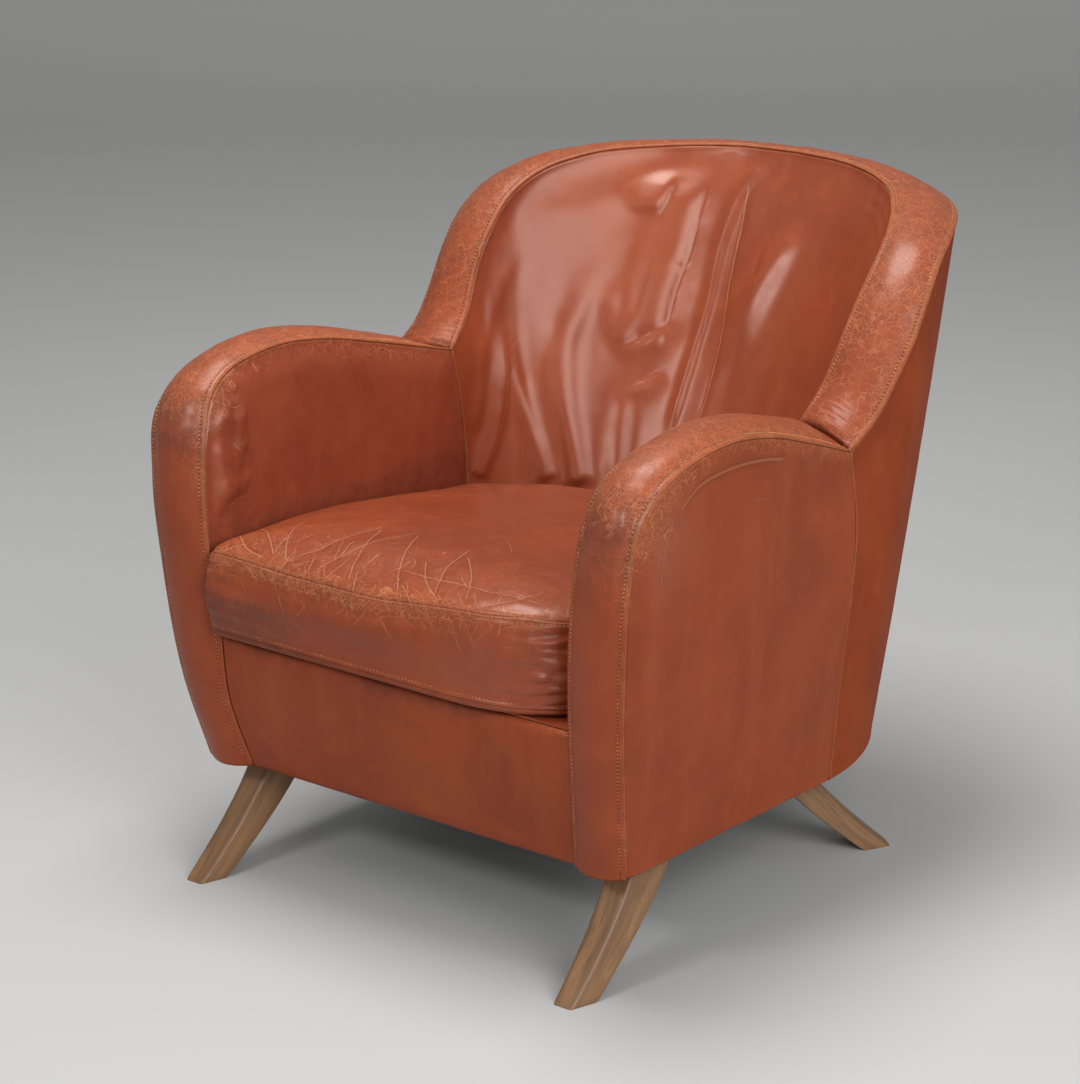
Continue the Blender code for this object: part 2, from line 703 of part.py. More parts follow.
def strap_grid(x_range, y_range, drop):
    """A flat strap on the platform's slope, a drop below its top."""
    xs = np.linspace(*x_range, 2)
    ys = np.linspace(*y_range, 2)
    grid = np.zeros((2, 2, 3))
    grid[..., 0] = xs[None]
    grid[..., 1] = ys[:, None]
    grid[..., 2] = deck_height(grid[..., 1]) - drop
    return grid


def add_platform():
    """Leather, pad and elastic straps that carry the cushion."""
    deck = deck_grid()
    sheet("deck_cover", deck, LEATHER, "leather")
    pad = sunk(deck, LEATHER + GAP)
    pad[0, :, 1] += LEATHER + 5 * GAP
    sheet("deck_pad", pad, DECK_PAD, "foam")
    under_pad = LEATHER + DECK_PAD + 2 * GAP
    ends = (FRONT_RAIL_Y - BOARD / 2, SEAT_REAR_RAIL_Y + BOARD / 2)
    for number in range(3):
        x = (number - 1) * STRAP_PITCH
        grid = strap_grid((x - STRAP_WIDTH / 2, x + STRAP_WIDTH / 2), ends, under_pad)
        sheet("seat_strap_%d" % (number + 1), grid, STRAP, "webbing")


# ---------------------------------------------------------------- frame
def sloped_board(name, x, y_range, top_drop, finish_name):
    """An upright board along Y whose top edge follows the platform's slope."""
    rings = []
    for y in y_range:
        top = deck_height(y) - top_drop
        rings.append(np.array([(x + BOARD / 2, y, FRAME_BOTTOM), (x - BOARD / 2, y, FRAME_BOTTOM),
                               (x - BOARD / 2, y, top), (x + BOARD / 2, y, top)]))
    return loft(name, rings, finish_name)


def rear_rail():
    """A bent plywood rail inside the round rear edge."""
    inner = REAR_RAIL_OUTER - REAR_RAIL_THICKNESS
    start = math.asin((SIDE_SEAM_Y + POST_DEPTH / 2 + 0.0035 - TUB_CENTRE_Y) / inner)
    rings = []
    for angle in np.linspace(start, math.pi - start, 25):
        direction = np.array([math.cos(angle), math.sin(angle)])
        centre = np.array([0.0, TUB_CENTRE_Y])
        near, far = centre + inner * direction, centre + REAR_RAIL_OUTER * direction
        rings.append(np.array([(*near, FRAME_BOTTOM), (*near, REAR_RAIL_TOP),
                               (*far, REAR_RAIL_TOP), (*far, FRAME_BOTTOM)]))
    return loft("rear_rail", rings, "plywood")


def rear_post(side, suffix):
    """An upright inside the side seam, from the bottom edge to the end of the arm rail."""
    seam = smooth_curve(SIDE_SEAM, np.linspace(0.0, 1.0, 60))
    rings = []
    for height in np.linspace(FRAME_BOTTOM, REAR_POST_TOP, 7):
        far = float(np.interp(height, seam[:, 2], seam[:, 0])) - LEATHER - LINING - 7 * GAP
        near = far - POST_WIDTH
        front, back = SIDE_SEAM_Y - POST_DEPTH / 2, SIDE_SEAM_Y + POST_DEPTH / 2
        corners = [(near, front), (far, front), (far - 0.0018, back), (near, back)]
        if side < 0:
            corners = [(-x, y) for x, y in corners][::-1]
        rings.append(np.array([(x, y, height) for x, y in corners]))
    return loft("rear_post_" + suffix, rings, "beech")


def add_frame():
    """Rails, posts and blocks of the beech and plywood frame."""
    stack = LEATHER + DECK_PAD + STRAP + 3 * GAP
    front_top = deck_height(FRONT_RAIL_Y - BOARD / 2) - stack - 0.0015
    box("front_rail", (0.0, FRONT_RAIL_Y, (FRAME_BOTTOM + front_top) / 2),
        (2 * FRONT_RAIL_HALF, BOARD, front_top - FRAME_BOTTOM), "beech")
    rear_top = deck_height(SEAT_REAR_RAIL_Y + BOARD / 2) - stack
    box("seat_rear_rail", (0.0, SEAT_REAR_RAIL_Y, (SEAT_REAR_RAIL_BOTTOM + rear_top) / 2),
        (2 * SEAT_REAR_RAIL_HALF, BOARD, rear_top - SEAT_REAR_RAIL_BOTTOM), "beech")
    rail_ends = (FRONT_RAIL_Y + BOARD / 2 + GAP, SEAT_REAR_RAIL_Y - BOARD / 2 - GAP)
    rear_rail()
    for side, suffix in SIDES:
        sloped_board("side_rail_" + suffix, side * SIDE_RAIL_X, rail_ends,
                     stack, "beech")
        rear_post(side, suffix)
        near = SIDE_RAIL_X + BOARD / 2 + GAP
        far = BODY_HALF_WIDTH - LEATHER - LINING - 8 * GAP - POST_WIDTH
        box("post_spacer_" + suffix,
            (side * (near + far) / 2, SIDE_SEAM_Y, (FRAME_BOTTOM + REAR_RAIL_TOP) / 2),
            (far - near, POST_DEPTH, REAR_RAIL_TOP - FRAME_BOTTOM), "beech")
        front_y = rail_ends[0] + 0.0015 + BLOCK / 2
        block = box("front_block_" + suffix,
                    (side * (near + FRONT_BLOCK_WIDTH / 2), front_y, FRAME_BOTTOM + BLOCK_RISE / 2),
                    (FRONT_BLOCK_WIDTH, BLOCK, BLOCK_RISE), "beech")
        drill_for_bolt(block, side, FRONT_BOLT)
        inner = SIDE_RAIL_X - BOARD / 2 - GAP
        block = box("rear_block_" + suffix,
                    (side * (inner - BLOCK / 2), REAR_BOLT[1], FRAME_BOTTOM + BLOCK_RISE / 2),
                    (BLOCK, BLOCK * 1.2, BLOCK_RISE), "beech")
        drill_for_bolt(block, side, REAR_BOLT)


def drill_for_bolt(thing, side, place):
    height = BOLT_BELOW + BOLT_ABOVE + 2 * GAP
    middle = LEG_TOP + (BOLT_ABOVE - BOLT_BELOW) / 2
    drill(thing, (side * place[0], place[1], middle), BOLT_RADIUS + GAP, height)


def add_dust_cover():
    """A thin cloth stapled under the frame."""
    reach = BODY_HALF_WIDTH - 0.004
    angles = np.linspace(0.0, math.pi, 25)
    outline = [(reach, DUST_FRONT_Y)]
    outline += [(reach * math.cos(a), TUB_CENTRE_Y + reach * math.sin(a)) for a in angles]
    outline += [(-reach, DUST_FRONT_Y)]
    low = LEG_TOP + GAP
    rings = [np.array([(x, y, z) for x, y in outline]) for z in (low, low + DUST_COVER)]
    cover = loft("dust_cover", rings, "lining_cloth")
    for side, _ in SIDES:
        for place in (FRONT_BOLT, REAR_BOLT):
            drill(cover, (side * place[0], place[1], low), BOLT_RADIUS + GAP, 0.01)


# ---------------------------------------------------------------- legs
def leg_ring(toe, direction, rise):
    """The leg's four-cornered section at a share of its height."""
    forward = np.array([math.sin(direction), -math.cos(direction)])
    across = np.array([math.cos(direction), math.sin(direction)])
    swept = 1 - (1 - rise) ** LEG_CURVE
    lean = -LEG_LEAN_IN * rise * math.copysign(1.0, toe[0])
    front = np.array(toe) - forward * LEG_SWEEP * swept + np.array([lean, 0.0])
    length = LEG_LENGTH + (LEG_TOP_LENGTH - LEG_LENGTH) * rise
    back = front - forward * length
    toe_half = (LEG_TOE_WIDTH + (LEG_TOP_TOE_WIDTH - LEG_TOE_WIDTH) * rise) / 2
    heel_half = (LEG_HEEL_WIDTH + (LEG_TOP_HEEL_WIDTH - LEG_HEEL_WIDTH) * rise) / 2
    corners = [front - across * toe_half, front + across * toe_half,
               back + across * heel_half, back - across * heel_half]
    return np.array([(*corner, rise * LEG_TOP) for corner in corners])


def add_leg(name, toe, direction, bolt):
    """A raked sabre leg with softened long edges, drilled for its bolt."""
    rings = [leg_ring(toe, direction, rise) for rise in np.linspace(0.0, 1.0, 7)]
    leg = loft(name, rings, "oak_stained")
    bevel = leg.modifiers.new("softened", "BEVEL")
    bevel.width = LEG_EDGE
    bevel.segments = 2
    bevel.limit_method = "ANGLE"
    bevel.angle_limit = math.radians(35.0)
    drill_for_bolt(leg, math.copysign(1.0, toe[0]), bolt)


def add_legs():
    for side, suffix in SIDES:
        front = (side * FRONT_TOE[0], FRONT_TOE[1])
        rear = (side * REAR_TOE[0], REAR_TOE[1])
        add_leg("leg_front_" + suffix, front, 0.0, FRONT_BOLT)
        add_leg("leg_rear_" + suffix, rear, side * (math.pi - REAR_LEG_TURN), REAR_BOLT)
        middle = LEG_TOP + (BOLT_ABOVE - BOLT_BELOW) / 2
        for end, place in (("front", FRONT_BOLT), ("rear", REAR_BOLT)):
            cylinder("leg_bolt_%s_%s" % (end, suffix), (side * place[0], place[1], middle),
                     BOLT_RADIUS, BOLT_BELOW + BOLT_ABOVE, "zinc_steel")


# ---------------------------------------------------------------- seat cushion
def rounded_outline(corners, radius, count):
    """A closed outline with its corners rounded, as evenly spaced points."""
    path = []
    for before, here, after in zip(corners[-1:] + corners[:-1], corners, corners[1:] + corners[:1]):
        here, before, after = np.array(here), np.array(before), np.array(after)
        enter = here + (before - here) * min(0.45, radius / np.linalg.norm(before - here))
        leave = here + (after - here) * min(0.45, radius / np.linalg.norm(after - here))
        for t in np.linspace(0.0, 1.0, 7):
            path.append((1 - t) ** 2 * enter + 2 * t * (1 - t) * here + t ** 2 * leave)
    path = np.array(path + path[:1])
    flat = np.concatenate([path, np.zeros((len(path), 1))], axis=1)
    return spaced(flat, np.arange(count) / count)[:, :2]


def cushion_outline(inset):
    """The cushion's plan: straight front and sides, and a curved rear that fits the tub."""
    front, rear = CUSHION_HALF_FRONT - inset, CUSHION_HALF_REAR - inset
    corners = [(-front, CUSHION_FRONT_Y + inset), (front, CUSHION_FRONT_Y + inset)]
    for turn in np.linspace(1.0, -1.0, 7):
        y = CUSHION_REAR_Y + (CUSHION_CORNER_Y - CUSHION_REAR_Y) * turn ** 2 - inset
        corners.append((rear * turn, y))
    return rounded_outline(corners, CUSHION_CORNER, CUSHION_POINTS)


def cushion_rings(inset):
    """Closed rings from the middle of the underside over the boxing to the top's middle."""
    outline = cushion_outline(inset)
    centre = outline.mean(axis=0)
    low, high = inset, CUSHION_BOXING - inset
    profile = [(0.45, low), (0.97, low), (1.0, low + 0.005)]
    profile += [(1.0, low + (high - low) * share) for share in (0.33, 0.67, 1.0)]
    profile += [(f, high + CUSHION_CROWN * (1 - f ** 5)) for f in (0.96, 0.88, 0.72, 0.50, 0.22)]
    rings = []
    for number, (scale, height) in enumerate(profile):
        swell = CUSHION_BULGE if number in (3, 4) else 0.0
        plan = centre + (outline - centre) * (scale + swell / CUSHION_HALF_FRONT)
        z = deck_height(plan[:, 1]) + GAP + height
        rings.append(np.column_stack([plan, z]))
    return rings


def zip_slab(name, thickness_range, margin, finish_name):
    """A curved strip in the middle of the rear boxing."""
    turn = np.linspace(-1.0, 1.0, 9)
    reach = (ZIP_HALF_LENGTH + margin) / CUSHION_HALF_REAR
    grids = []
    for depth in thickness_range:
        grid = np.zeros((2, len(turn), 3))
        x = -turn * reach * CUSHION_HALF_REAR
        y = CUSHION_REAR_Y + (CUSHION_CORNER_Y - CUSHION_REAR_Y) * (turn * reach) ** 2 - depth
        grid[..., 0] = x[None]
        grid[..., 1] = y[None]
        middle = deck_height(y) + CUSHION_BOXING / 2
        grid[0, :, 2] = middle - ZIP_HALF_WIDTH - margin
        grid[1, :, 2] = middle + ZIP_HALF_WIDTH + margin
        grids.append(grid)
    return slab(name, grids[0], grids[1], finish_name)


def add_cushion():
    """A loose cushion: boxed leather case with a zip at the rear, and its foam core."""
    case = loft("cushion_case", cushion_rings(0.0), "leather", True)
    hollow = loft("cushion_hollow", cushion_rings(LEATHER), "leather", True)
    slot = zip_slab("zip_slot", (-0.012, 0.020), 3 * GAP, "leather")
    for cutter in (hollow, slot):
        PARTS.objects.unlink(cutter)
        CUTTERS.objects.link(cutter)
        subtract(case, cutter)
    loft("cushion_core", cushion_rings(LEATHER + 2 * GAP), "foam", True)
    zip_slab("cushion_zip", (0.0002, 0.0014), 0.0, "zinc_steel")


def build():
    for side, suffix in SIDES:
        add_arm_rim(side, suffix)
        add_arm_panels(side, suffix)
    add_back_rim()
    add_back_panels()
    add_apron()
    add_platform()
    add_frame()
    add_dust_cover()
    add_legs()
    add_cushion()


clear_scene()
PARTS = make_collection("worn_club_chair")
CUTTERS = make_collection("cutters")
build()
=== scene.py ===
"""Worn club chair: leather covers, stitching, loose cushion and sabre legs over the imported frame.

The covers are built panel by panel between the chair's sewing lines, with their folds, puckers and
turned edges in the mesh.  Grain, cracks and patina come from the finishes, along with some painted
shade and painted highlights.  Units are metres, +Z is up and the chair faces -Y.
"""
import json
import logging
import math
from dataclasses import dataclass, field
from enum import Enum
from typing import Callable

import bpy
import numpy as np
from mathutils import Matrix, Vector
from mathutils.bvhtree import BVHTree

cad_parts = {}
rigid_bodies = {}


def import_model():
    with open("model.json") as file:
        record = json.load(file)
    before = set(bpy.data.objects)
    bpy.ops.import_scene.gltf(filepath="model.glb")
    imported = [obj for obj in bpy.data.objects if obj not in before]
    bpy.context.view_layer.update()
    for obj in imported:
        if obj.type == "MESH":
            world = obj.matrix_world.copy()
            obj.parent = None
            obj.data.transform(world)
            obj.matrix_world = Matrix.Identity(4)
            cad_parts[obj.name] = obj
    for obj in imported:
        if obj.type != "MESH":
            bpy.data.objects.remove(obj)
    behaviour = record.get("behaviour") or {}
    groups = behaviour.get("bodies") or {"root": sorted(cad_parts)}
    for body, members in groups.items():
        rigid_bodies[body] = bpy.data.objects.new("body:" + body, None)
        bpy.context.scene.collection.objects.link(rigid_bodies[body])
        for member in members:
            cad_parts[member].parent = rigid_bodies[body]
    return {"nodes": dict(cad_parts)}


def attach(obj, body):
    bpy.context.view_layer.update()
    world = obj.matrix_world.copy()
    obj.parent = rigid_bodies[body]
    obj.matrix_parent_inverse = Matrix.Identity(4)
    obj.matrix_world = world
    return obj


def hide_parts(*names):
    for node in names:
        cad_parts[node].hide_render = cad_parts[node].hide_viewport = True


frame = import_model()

log = logging.getLogger("club_chair")
Array = np.ndarray
Point = tuple[float, float, float]


# ------------------------------------------------------------------------------ small geometry
class Side(Enum):
    """Which half of the chair a piece belongs to, as the sign of its x."""

    RIGHT = 1
    LEFT = -1

    @property
    def label(self) -> str:
        """The word used in the names of pieces."""
        return self.name.lower()


MIRROR = np.array([-1.0, 1.0, 1.0])


def unit(vectors: Array) -> Array:
    """Scale vectors to length one.

    Args:
        vectors: Vectors along the last axis.

    Returns:
        The same directions with unit length.
    """
    return vectors / np.maximum(np.linalg.norm(vectors, axis=-1, keepdims=True), 1e-12)


def bell(distance: Array, width: float | Array) -> Array:
    """A smooth bump of height one around zero distance.

    Args:
        distance: Distances from the middle of the bump.
        width: How far the bump reaches.

    Returns:
        Heights from 0 to 1.
    """
    return np.exp(-((distance / width) ** 2))


def ramp(value: Array, low: float, high: float) -> Array:
    """Rise smoothly from 0 to 1 between two values.

    Args:
        value: Where to evaluate.
        low: The value at which the rise starts.
        high: The value at which it ends; it may be below low.

    Returns:
        Shares from 0 to 1.
    """
    share = np.clip((value - low) / (high - low), 0.0, 1.0)
    return share * share * (3.0 - 2.0 * share)


def along_lengths(points: Array) -> Array:
    """Measure how far along a line of points each one lies.

    Args:
        points: Points in order, along the first axis.

    Returns:
        Running lengths that start at zero.
    """
    steps = np.linalg.norm(np.diff(points, axis=0), axis=-1)
    return np.concatenate([np.zeros((1,) + steps.shape[1:]), np.cumsum(steps, axis=0)])


def line_at(points: Array, shares: Array) -> Array:
    """Find points at shares of a line's length.

    Args:
        points: The line's points.
        shares: Shares of its length.

    Returns:
        One point for each share.
    """
    length = along_lengths(points)
    at = np.asarray(shares) * length[-1]
    return np.stack([np.interp(at, length, points[:, axis]) for axis in range(3)], axis=1)


def grid_normals(grid: Array) -> Array:
    """Outward directions of a grid whose columns run to the right and rows run up.

    Args:
        grid: Points as rows by columns by 3.

    Returns:
        Unit normals of the same shape.
    """
    return unit(np.cross(np.gradient(grid, axis=1), np.gradient(grid, axis=0)))


def respaced(grid: Array, shares: Array) -> Array:
    """Resample each column of a grid by its length.

    Args:
        grid: Points as rows by columns by 3.
        shares: Shares of a column's length, one for each new row.

    Returns:
        A grid with a row for each share.
    """
    return np.stack([line_at(grid[:, column], shares) for column in range(grid.shape[1])], axis=1)


def spread(length: float, step: float, low_edge: bool = True, high_edge: bool = True) -> Array:
    """Shares of a length that are even, with closer ones beside the edges.

    Args:
        length: The length, in metres.
        step: The even spacing.
        low_edge: Whether the spacing is closer at the start.
        high_edge: Whether the spacing is closer at the end.

    Returns:
        Shares from 0 to 1.
    """
    close = np.array([0.0, 0.0007, 0.0015, 0.0025, 0.0038, 0.0055])
    start = close if low_edge else close[:1]
    end = length - (close if high_edge else close[:1])[::-1]
    count = max(2, round((end[0] - start[-1]) / step))
    return np.concatenate([start, np.linspace(start[-1], end[0], count + 1)[1:-1], end]) / length


class Lumps:
    """Seeded smooth noise in space, the same on every cover that it passes through."""

    def __init__(self, seed: int) -> None:
        """Fill a repeating block of random values.

        Args:
            seed: Seed of the random values.
        """
        self.block = np.random.default_rng(seed).uniform(-1.0, 1.0, (24, 24, 24))

    def at(self, points: Array, size: float | Point) -> Array:
        """Evaluate the noise.

        Args:
            points: Points along the last axis.
            size: Size of a lump, in metres, the same all round or along each axis.

        Returns:
            Values from about -1 to 1, one for each point.
        """
        place = points / np.asarray(size, dtype=float)
        cell = np.floor(place).astype(int)
        part = place - cell
        part = part * part * (3.0 - 2.0 * part)
        total = np.zeros(points.shape[:-1])
        for corner in np.ndindex(2, 2, 2):
            weight = np.prod([part[..., k] if corner[k] else 1.0 - part[..., k] for k in range(3)], axis=0)
            index = tuple((cell[..., k] + corner[k]) % 24 for k in range(3))
            total = total + weight * self.block[index]
        return total

    def rough(self, points: Array, size: float, layers: int = 3) -> Array:
        """Add finer layers of the noise to a coarse one.

        Args:
            points: Points along the last axis.
            size: Size of the coarsest lumps.
            layers: How many layers, each half the size and height of the one before.

        Returns:
            Values from about -1 to 1.
        """
        total = np.zeros(points.shape[:-1])
        for layer in range(layers):
            total = total + self.at(points + 3.7 * layer, size / 2**layer) / 2**layer
        return total / 1.5


# ------------------------------------------------------------------------------ sewing lines
@dataclass(frozen=True)
class Seam:
    """A smooth sewing line through the few points where it bends, on the right half."""

    knots: tuple[Point, ...]

    def at(self, shares: Array) -> Array:
        """Find points of the seam.

        Args:
            shares: Shares of its length, from 0 to 1.

        Returns:
            One point for each share.
        """
        knots = np.asarray(self.knots, dtype=float)
        chord = along_lengths(knots)
        slope = np.gradient(knots, chord, axis=0)
        fine = np.linspace(0.0, chord[-1], 60 * len(knots))
        index = np.clip(np.searchsorted(chord, fine, side="right") - 1, 0, len(knots) - 2)
        span = (chord[index + 1] - chord[index])[:, None]
        t = (fine - chord[index])[:, None] / span
        points = (
            (2 * t**3 - 3 * t**2 + 1) * knots[index]
            + (t**3 - 2 * t**2 + t) * span * slope[index]
            + (3 * t**2 - 2 * t**3) * knots[index + 1]
            + (t**3 - t**2) * span * slope[index + 1]
        )
        return line_at(points, shares)


@dataclass(frozen=True)
class SeamPlan:
    """Every sewing line of the chair's right half, and the levels that they hang from."""

    body_bottom: float = 0.1379
    body_half_width: float = 0.3186
    tub_centre_y: float = 0.005
    side_seam_y: float = 0.0155
    deck_front: tuple[float, float] = (-0.406, 0.312)
    deck_rear: tuple[float, float] = (0.125, 0.276)
    deck_corner_y: float = 0.0425
    deck_half_width: float = 0.2625
    fold_inner: Point = (0.2646, 0.015, 0.5715)
    fold_outer: Point = (0.3510, -0.006, 0.5570)

    @property
    def arm_outer(self) -> Seam:
        """Outer edge of the arm's band, from the foot over the shoulder to the fold."""
        return Seam((
            (0.3186, -0.378, 0.1390), (0.3340, -0.4025, 0.2360), (0.3470, -0.421, 0.3840),
            (0.3560, -0.4238, 0.4960), (0.3610, -0.4115, 0.5665), (0.3635, -0.375, 0.6000),
            (0.3645, -0.325, 0.6180), (0.3655, -0.258, 0.6255), (0.3645, -0.181, 0.6150),
            (0.3585, -0.100, 0.5900), self.fold_outer))

    @property
    def arm_inner(self) -> Seam:
        """Inner edge of the arm's band, from the foot over the shoulder to the fold."""
        return Seam((
            (0.2475, -0.380, 0.1390), (0.2620, -0.404, 0.2300), (0.2645, -0.413, 0.3300),
            (0.2720, -0.4215, 0.4300), (0.2760, -0.4195, 0.4900), (0.2810, -0.4115, 0.5500),
            (0.2885, -0.392, 0.5950), (0.2940, -0.360, 0.6150), (0.2960, -0.310, 0.6270),
            (0.2940, -0.260, 0.6310), (0.2860, -0.200, 0.6260), (0.2760, -0.120, 0.6080),
            self.fold_inner))

    @property
    def back_inner(self) -> Seam:
        """Inner edge of the back's band, from the fold to the middle of the top."""
        return Seam((
            self.fold_inner, (0.2715, 0.050, 0.6100), (0.2785, 0.079, 0.6650),
            (0.2800, 0.107, 0.7050), (0.2780, 0.145, 0.7440), (0.2660, 0.186, 0.7690),
            (0.2330, 0.243, 0.7875), (0.1650, 0.319, 0.7950), (0.0850, 0.361, 0.7990),
            (0.0, 0.373, 0.8000)))

    @property
    def back_outer(self) -> Seam:
        """Outer edge of the back's band, from the fold to the middle of the top."""
        return Seam((
            self.fold_outer, (0.3530, 0.047, 0.5886), (0.3560, 0.078, 0.6255),
            (0.3600, 0.105, 0.6640), (0.3585, 0.133, 0.7056), (0.3490, 0.171, 0.7416),
            (0.3270, 0.231, 0.7640), (0.2700, 0.325, 0.7730), (0.1700, 0.406, 0.7750),
            (0.0850, 0.4385, 0.7760), (0.0, 0.449, 0.7760)))

    @property
    def inside_corner(self) -> Seam:
        """Upright corner between the arm's inside and the inside back."""
        return Seam((
            (self.deck_half_width, self.deck_corner_y, 0.282), (0.2625, 0.040, 0.400),
            (0.2625, 0.032, 0.488), self.fold_inner))

    @property
    def side(self) -> Seam:
        """Upright seam between the arm's outside and the outside back."""
        return Seam((
            (self.body_half_width, self.side_seam_y, self.body_bottom),
            (0.3310, self.side_seam_y, 0.270), (0.3420, 0.0160, 0.370), (0.3470, 0.0175, 0.460),
            self.fold_outer))

    def deck_height(self, y: Array) -> Array:
        """Height of the seat platform, which slopes down to the rear.

        Args:
            y: Positions from front to rear.

        Returns:
            Heights above the floor.
        """
        slope = (self.deck_rear[1] - self.deck_front[1]) / (self.deck_rear[0] - self.deck_front[0])
        return self.deck_front[1] + (y - self.deck_front[0]) * slope

    def whole_back(self, seam: Seam, count: int, clearance: float = 0.0) -> Array:
        """A seam of the back from the right fold over the top to the left fold.

        Args:
            seam: The right half of the seam.
            count: How many points on each half.
            clearance: Share of the half's length left free at each fold.

        Returns:
            Points from right to left, twice the count less one.
        """
        half = seam.at(np.linspace(clearance, 1.0, count))
        return np.concatenate([half, half[::-1][1:] * MIRROR])


# ------------------------------------------------------------------------------ cover shapes
def rim_normals(inner: Array, outer: Array, passes: int = 0) -> Array:
    """Outward directions of the padded rim at stations of its two seams.

    Args:
        inner: Points of the inner seam.
        outer: Points of the outer seam.
        passes: How many times each direction is averaged with its neighbours.

    Returns:
        One unit direction for each station.
    """
    along = np.gradient((inner + outer) / 2, axis=0)
    normals = unit(np.cross(outer - inner, along))
    for _ in range(passes):
        normals[1:-1] = unit(normals[:-2] + 2 * normals[1:-1] + normals[2:])
    return normals


def turning_stations(inner: Seam, outer: Seam, start: float, end: float, count: int) -> Array:
    """Shares of a rim's length that lie closer together where it turns more.

    Args:
        inner: The rim's inner seam.
        outer: The rim's outer seam.
        start: Share at which the stations begin.
        end: Share at which they end.
        count: How many stations.

    Returns:
        Shares in rising order.
    """
    fine = np.linspace(start, end, 240)
    steps = np.diff((inner.at(fine) + outer.at(fine)) / 2, axis=0)
    length = np.linalg.norm(steps, axis=1)
    turning = np.linalg.norm(np.diff(unit(steps), axis=0), axis=1)
    turning = np.append(turning, turning[-1:])
    worth = np.append([0.0], np.cumsum(length / length.sum() + turning / turning.sum()))
    return np.interp(np.linspace(0.0, worth[-1], count), worth, fine)


def edge_rows(curve: Array, column: Array) -> Array:
    """Find the points of a rising curve at the heights of a column.

    Args:
        curve: Points of the curve, from low to high.
        column: Points whose heights are used.

    Returns:
        One point of the curve for each point of the column.
    """
    return np.stack([np.interp(column[:, 2], curve[:, 2], curve[:, axis]) for axis in range(3)], axis=1)


def fine_grid(grid: Array, step: float) -> Array:
    """Respace a grid evenly both ways, closer beside its edges.

    Args:
        grid: Points as rows by columns by 3.
        step: The even spacing, in metres.

    Returns:
        A finer grid on the same surface.
    """
    middle = len(grid) // 2
    width = along_lengths(grid[middle])[-1]
    level = respaced(grid.transpose(1, 0, 2), spread(width, step)).transpose(1, 0, 2)
    height = along_lengths(level[:, level.shape[1] // 2])[-1]
    return respaced(level, spread(height, step))


def hung_panel(base: Array, top: Array, under: Array, first: Array | None = None,
               last: Array | None = None) -> Array:
    """Rule a panel from a base line up to the line under a seam, and on to the seam.

    Args:
        base: Points of the lower edge.
        top: Points of the upper edge.
        under: The line that the panel passes through just below its upper edge.
        first: A rising curve that the first column follows.
        last: A rising curve that the last column follows.

    Returns:
        A grid of rows by columns by 3.
    """
    low = np.linspace(0.0, 1.0, 40)[:, None, None]
    high = np.linspace(0.0, 1.0, 7)[1:, None, None]
    grid = np.concatenate([base + (under - base) * low, under + (top - under) * high])
    along = np.linspace(0.0, 1.0, len(base))[None]
    reach = 3.0 + 60.0 * np.linspace(0.0, 1.0, len(grid))[:, None] ** 2
    for curve, column, near in ((first, 0, 1 - along), (last, -1, along)):
        if curve is not None:
            shift = edge_rows(curve, grid[:, column]) - grid[:, column]
            grid = grid + shift[:, None] * (near**reach)[..., None]
    for _ in range(10):
        grid[1:-1] = (grid[:-2] + 2 * grid[1:-1] + grid[2:]) / 4
    return grid


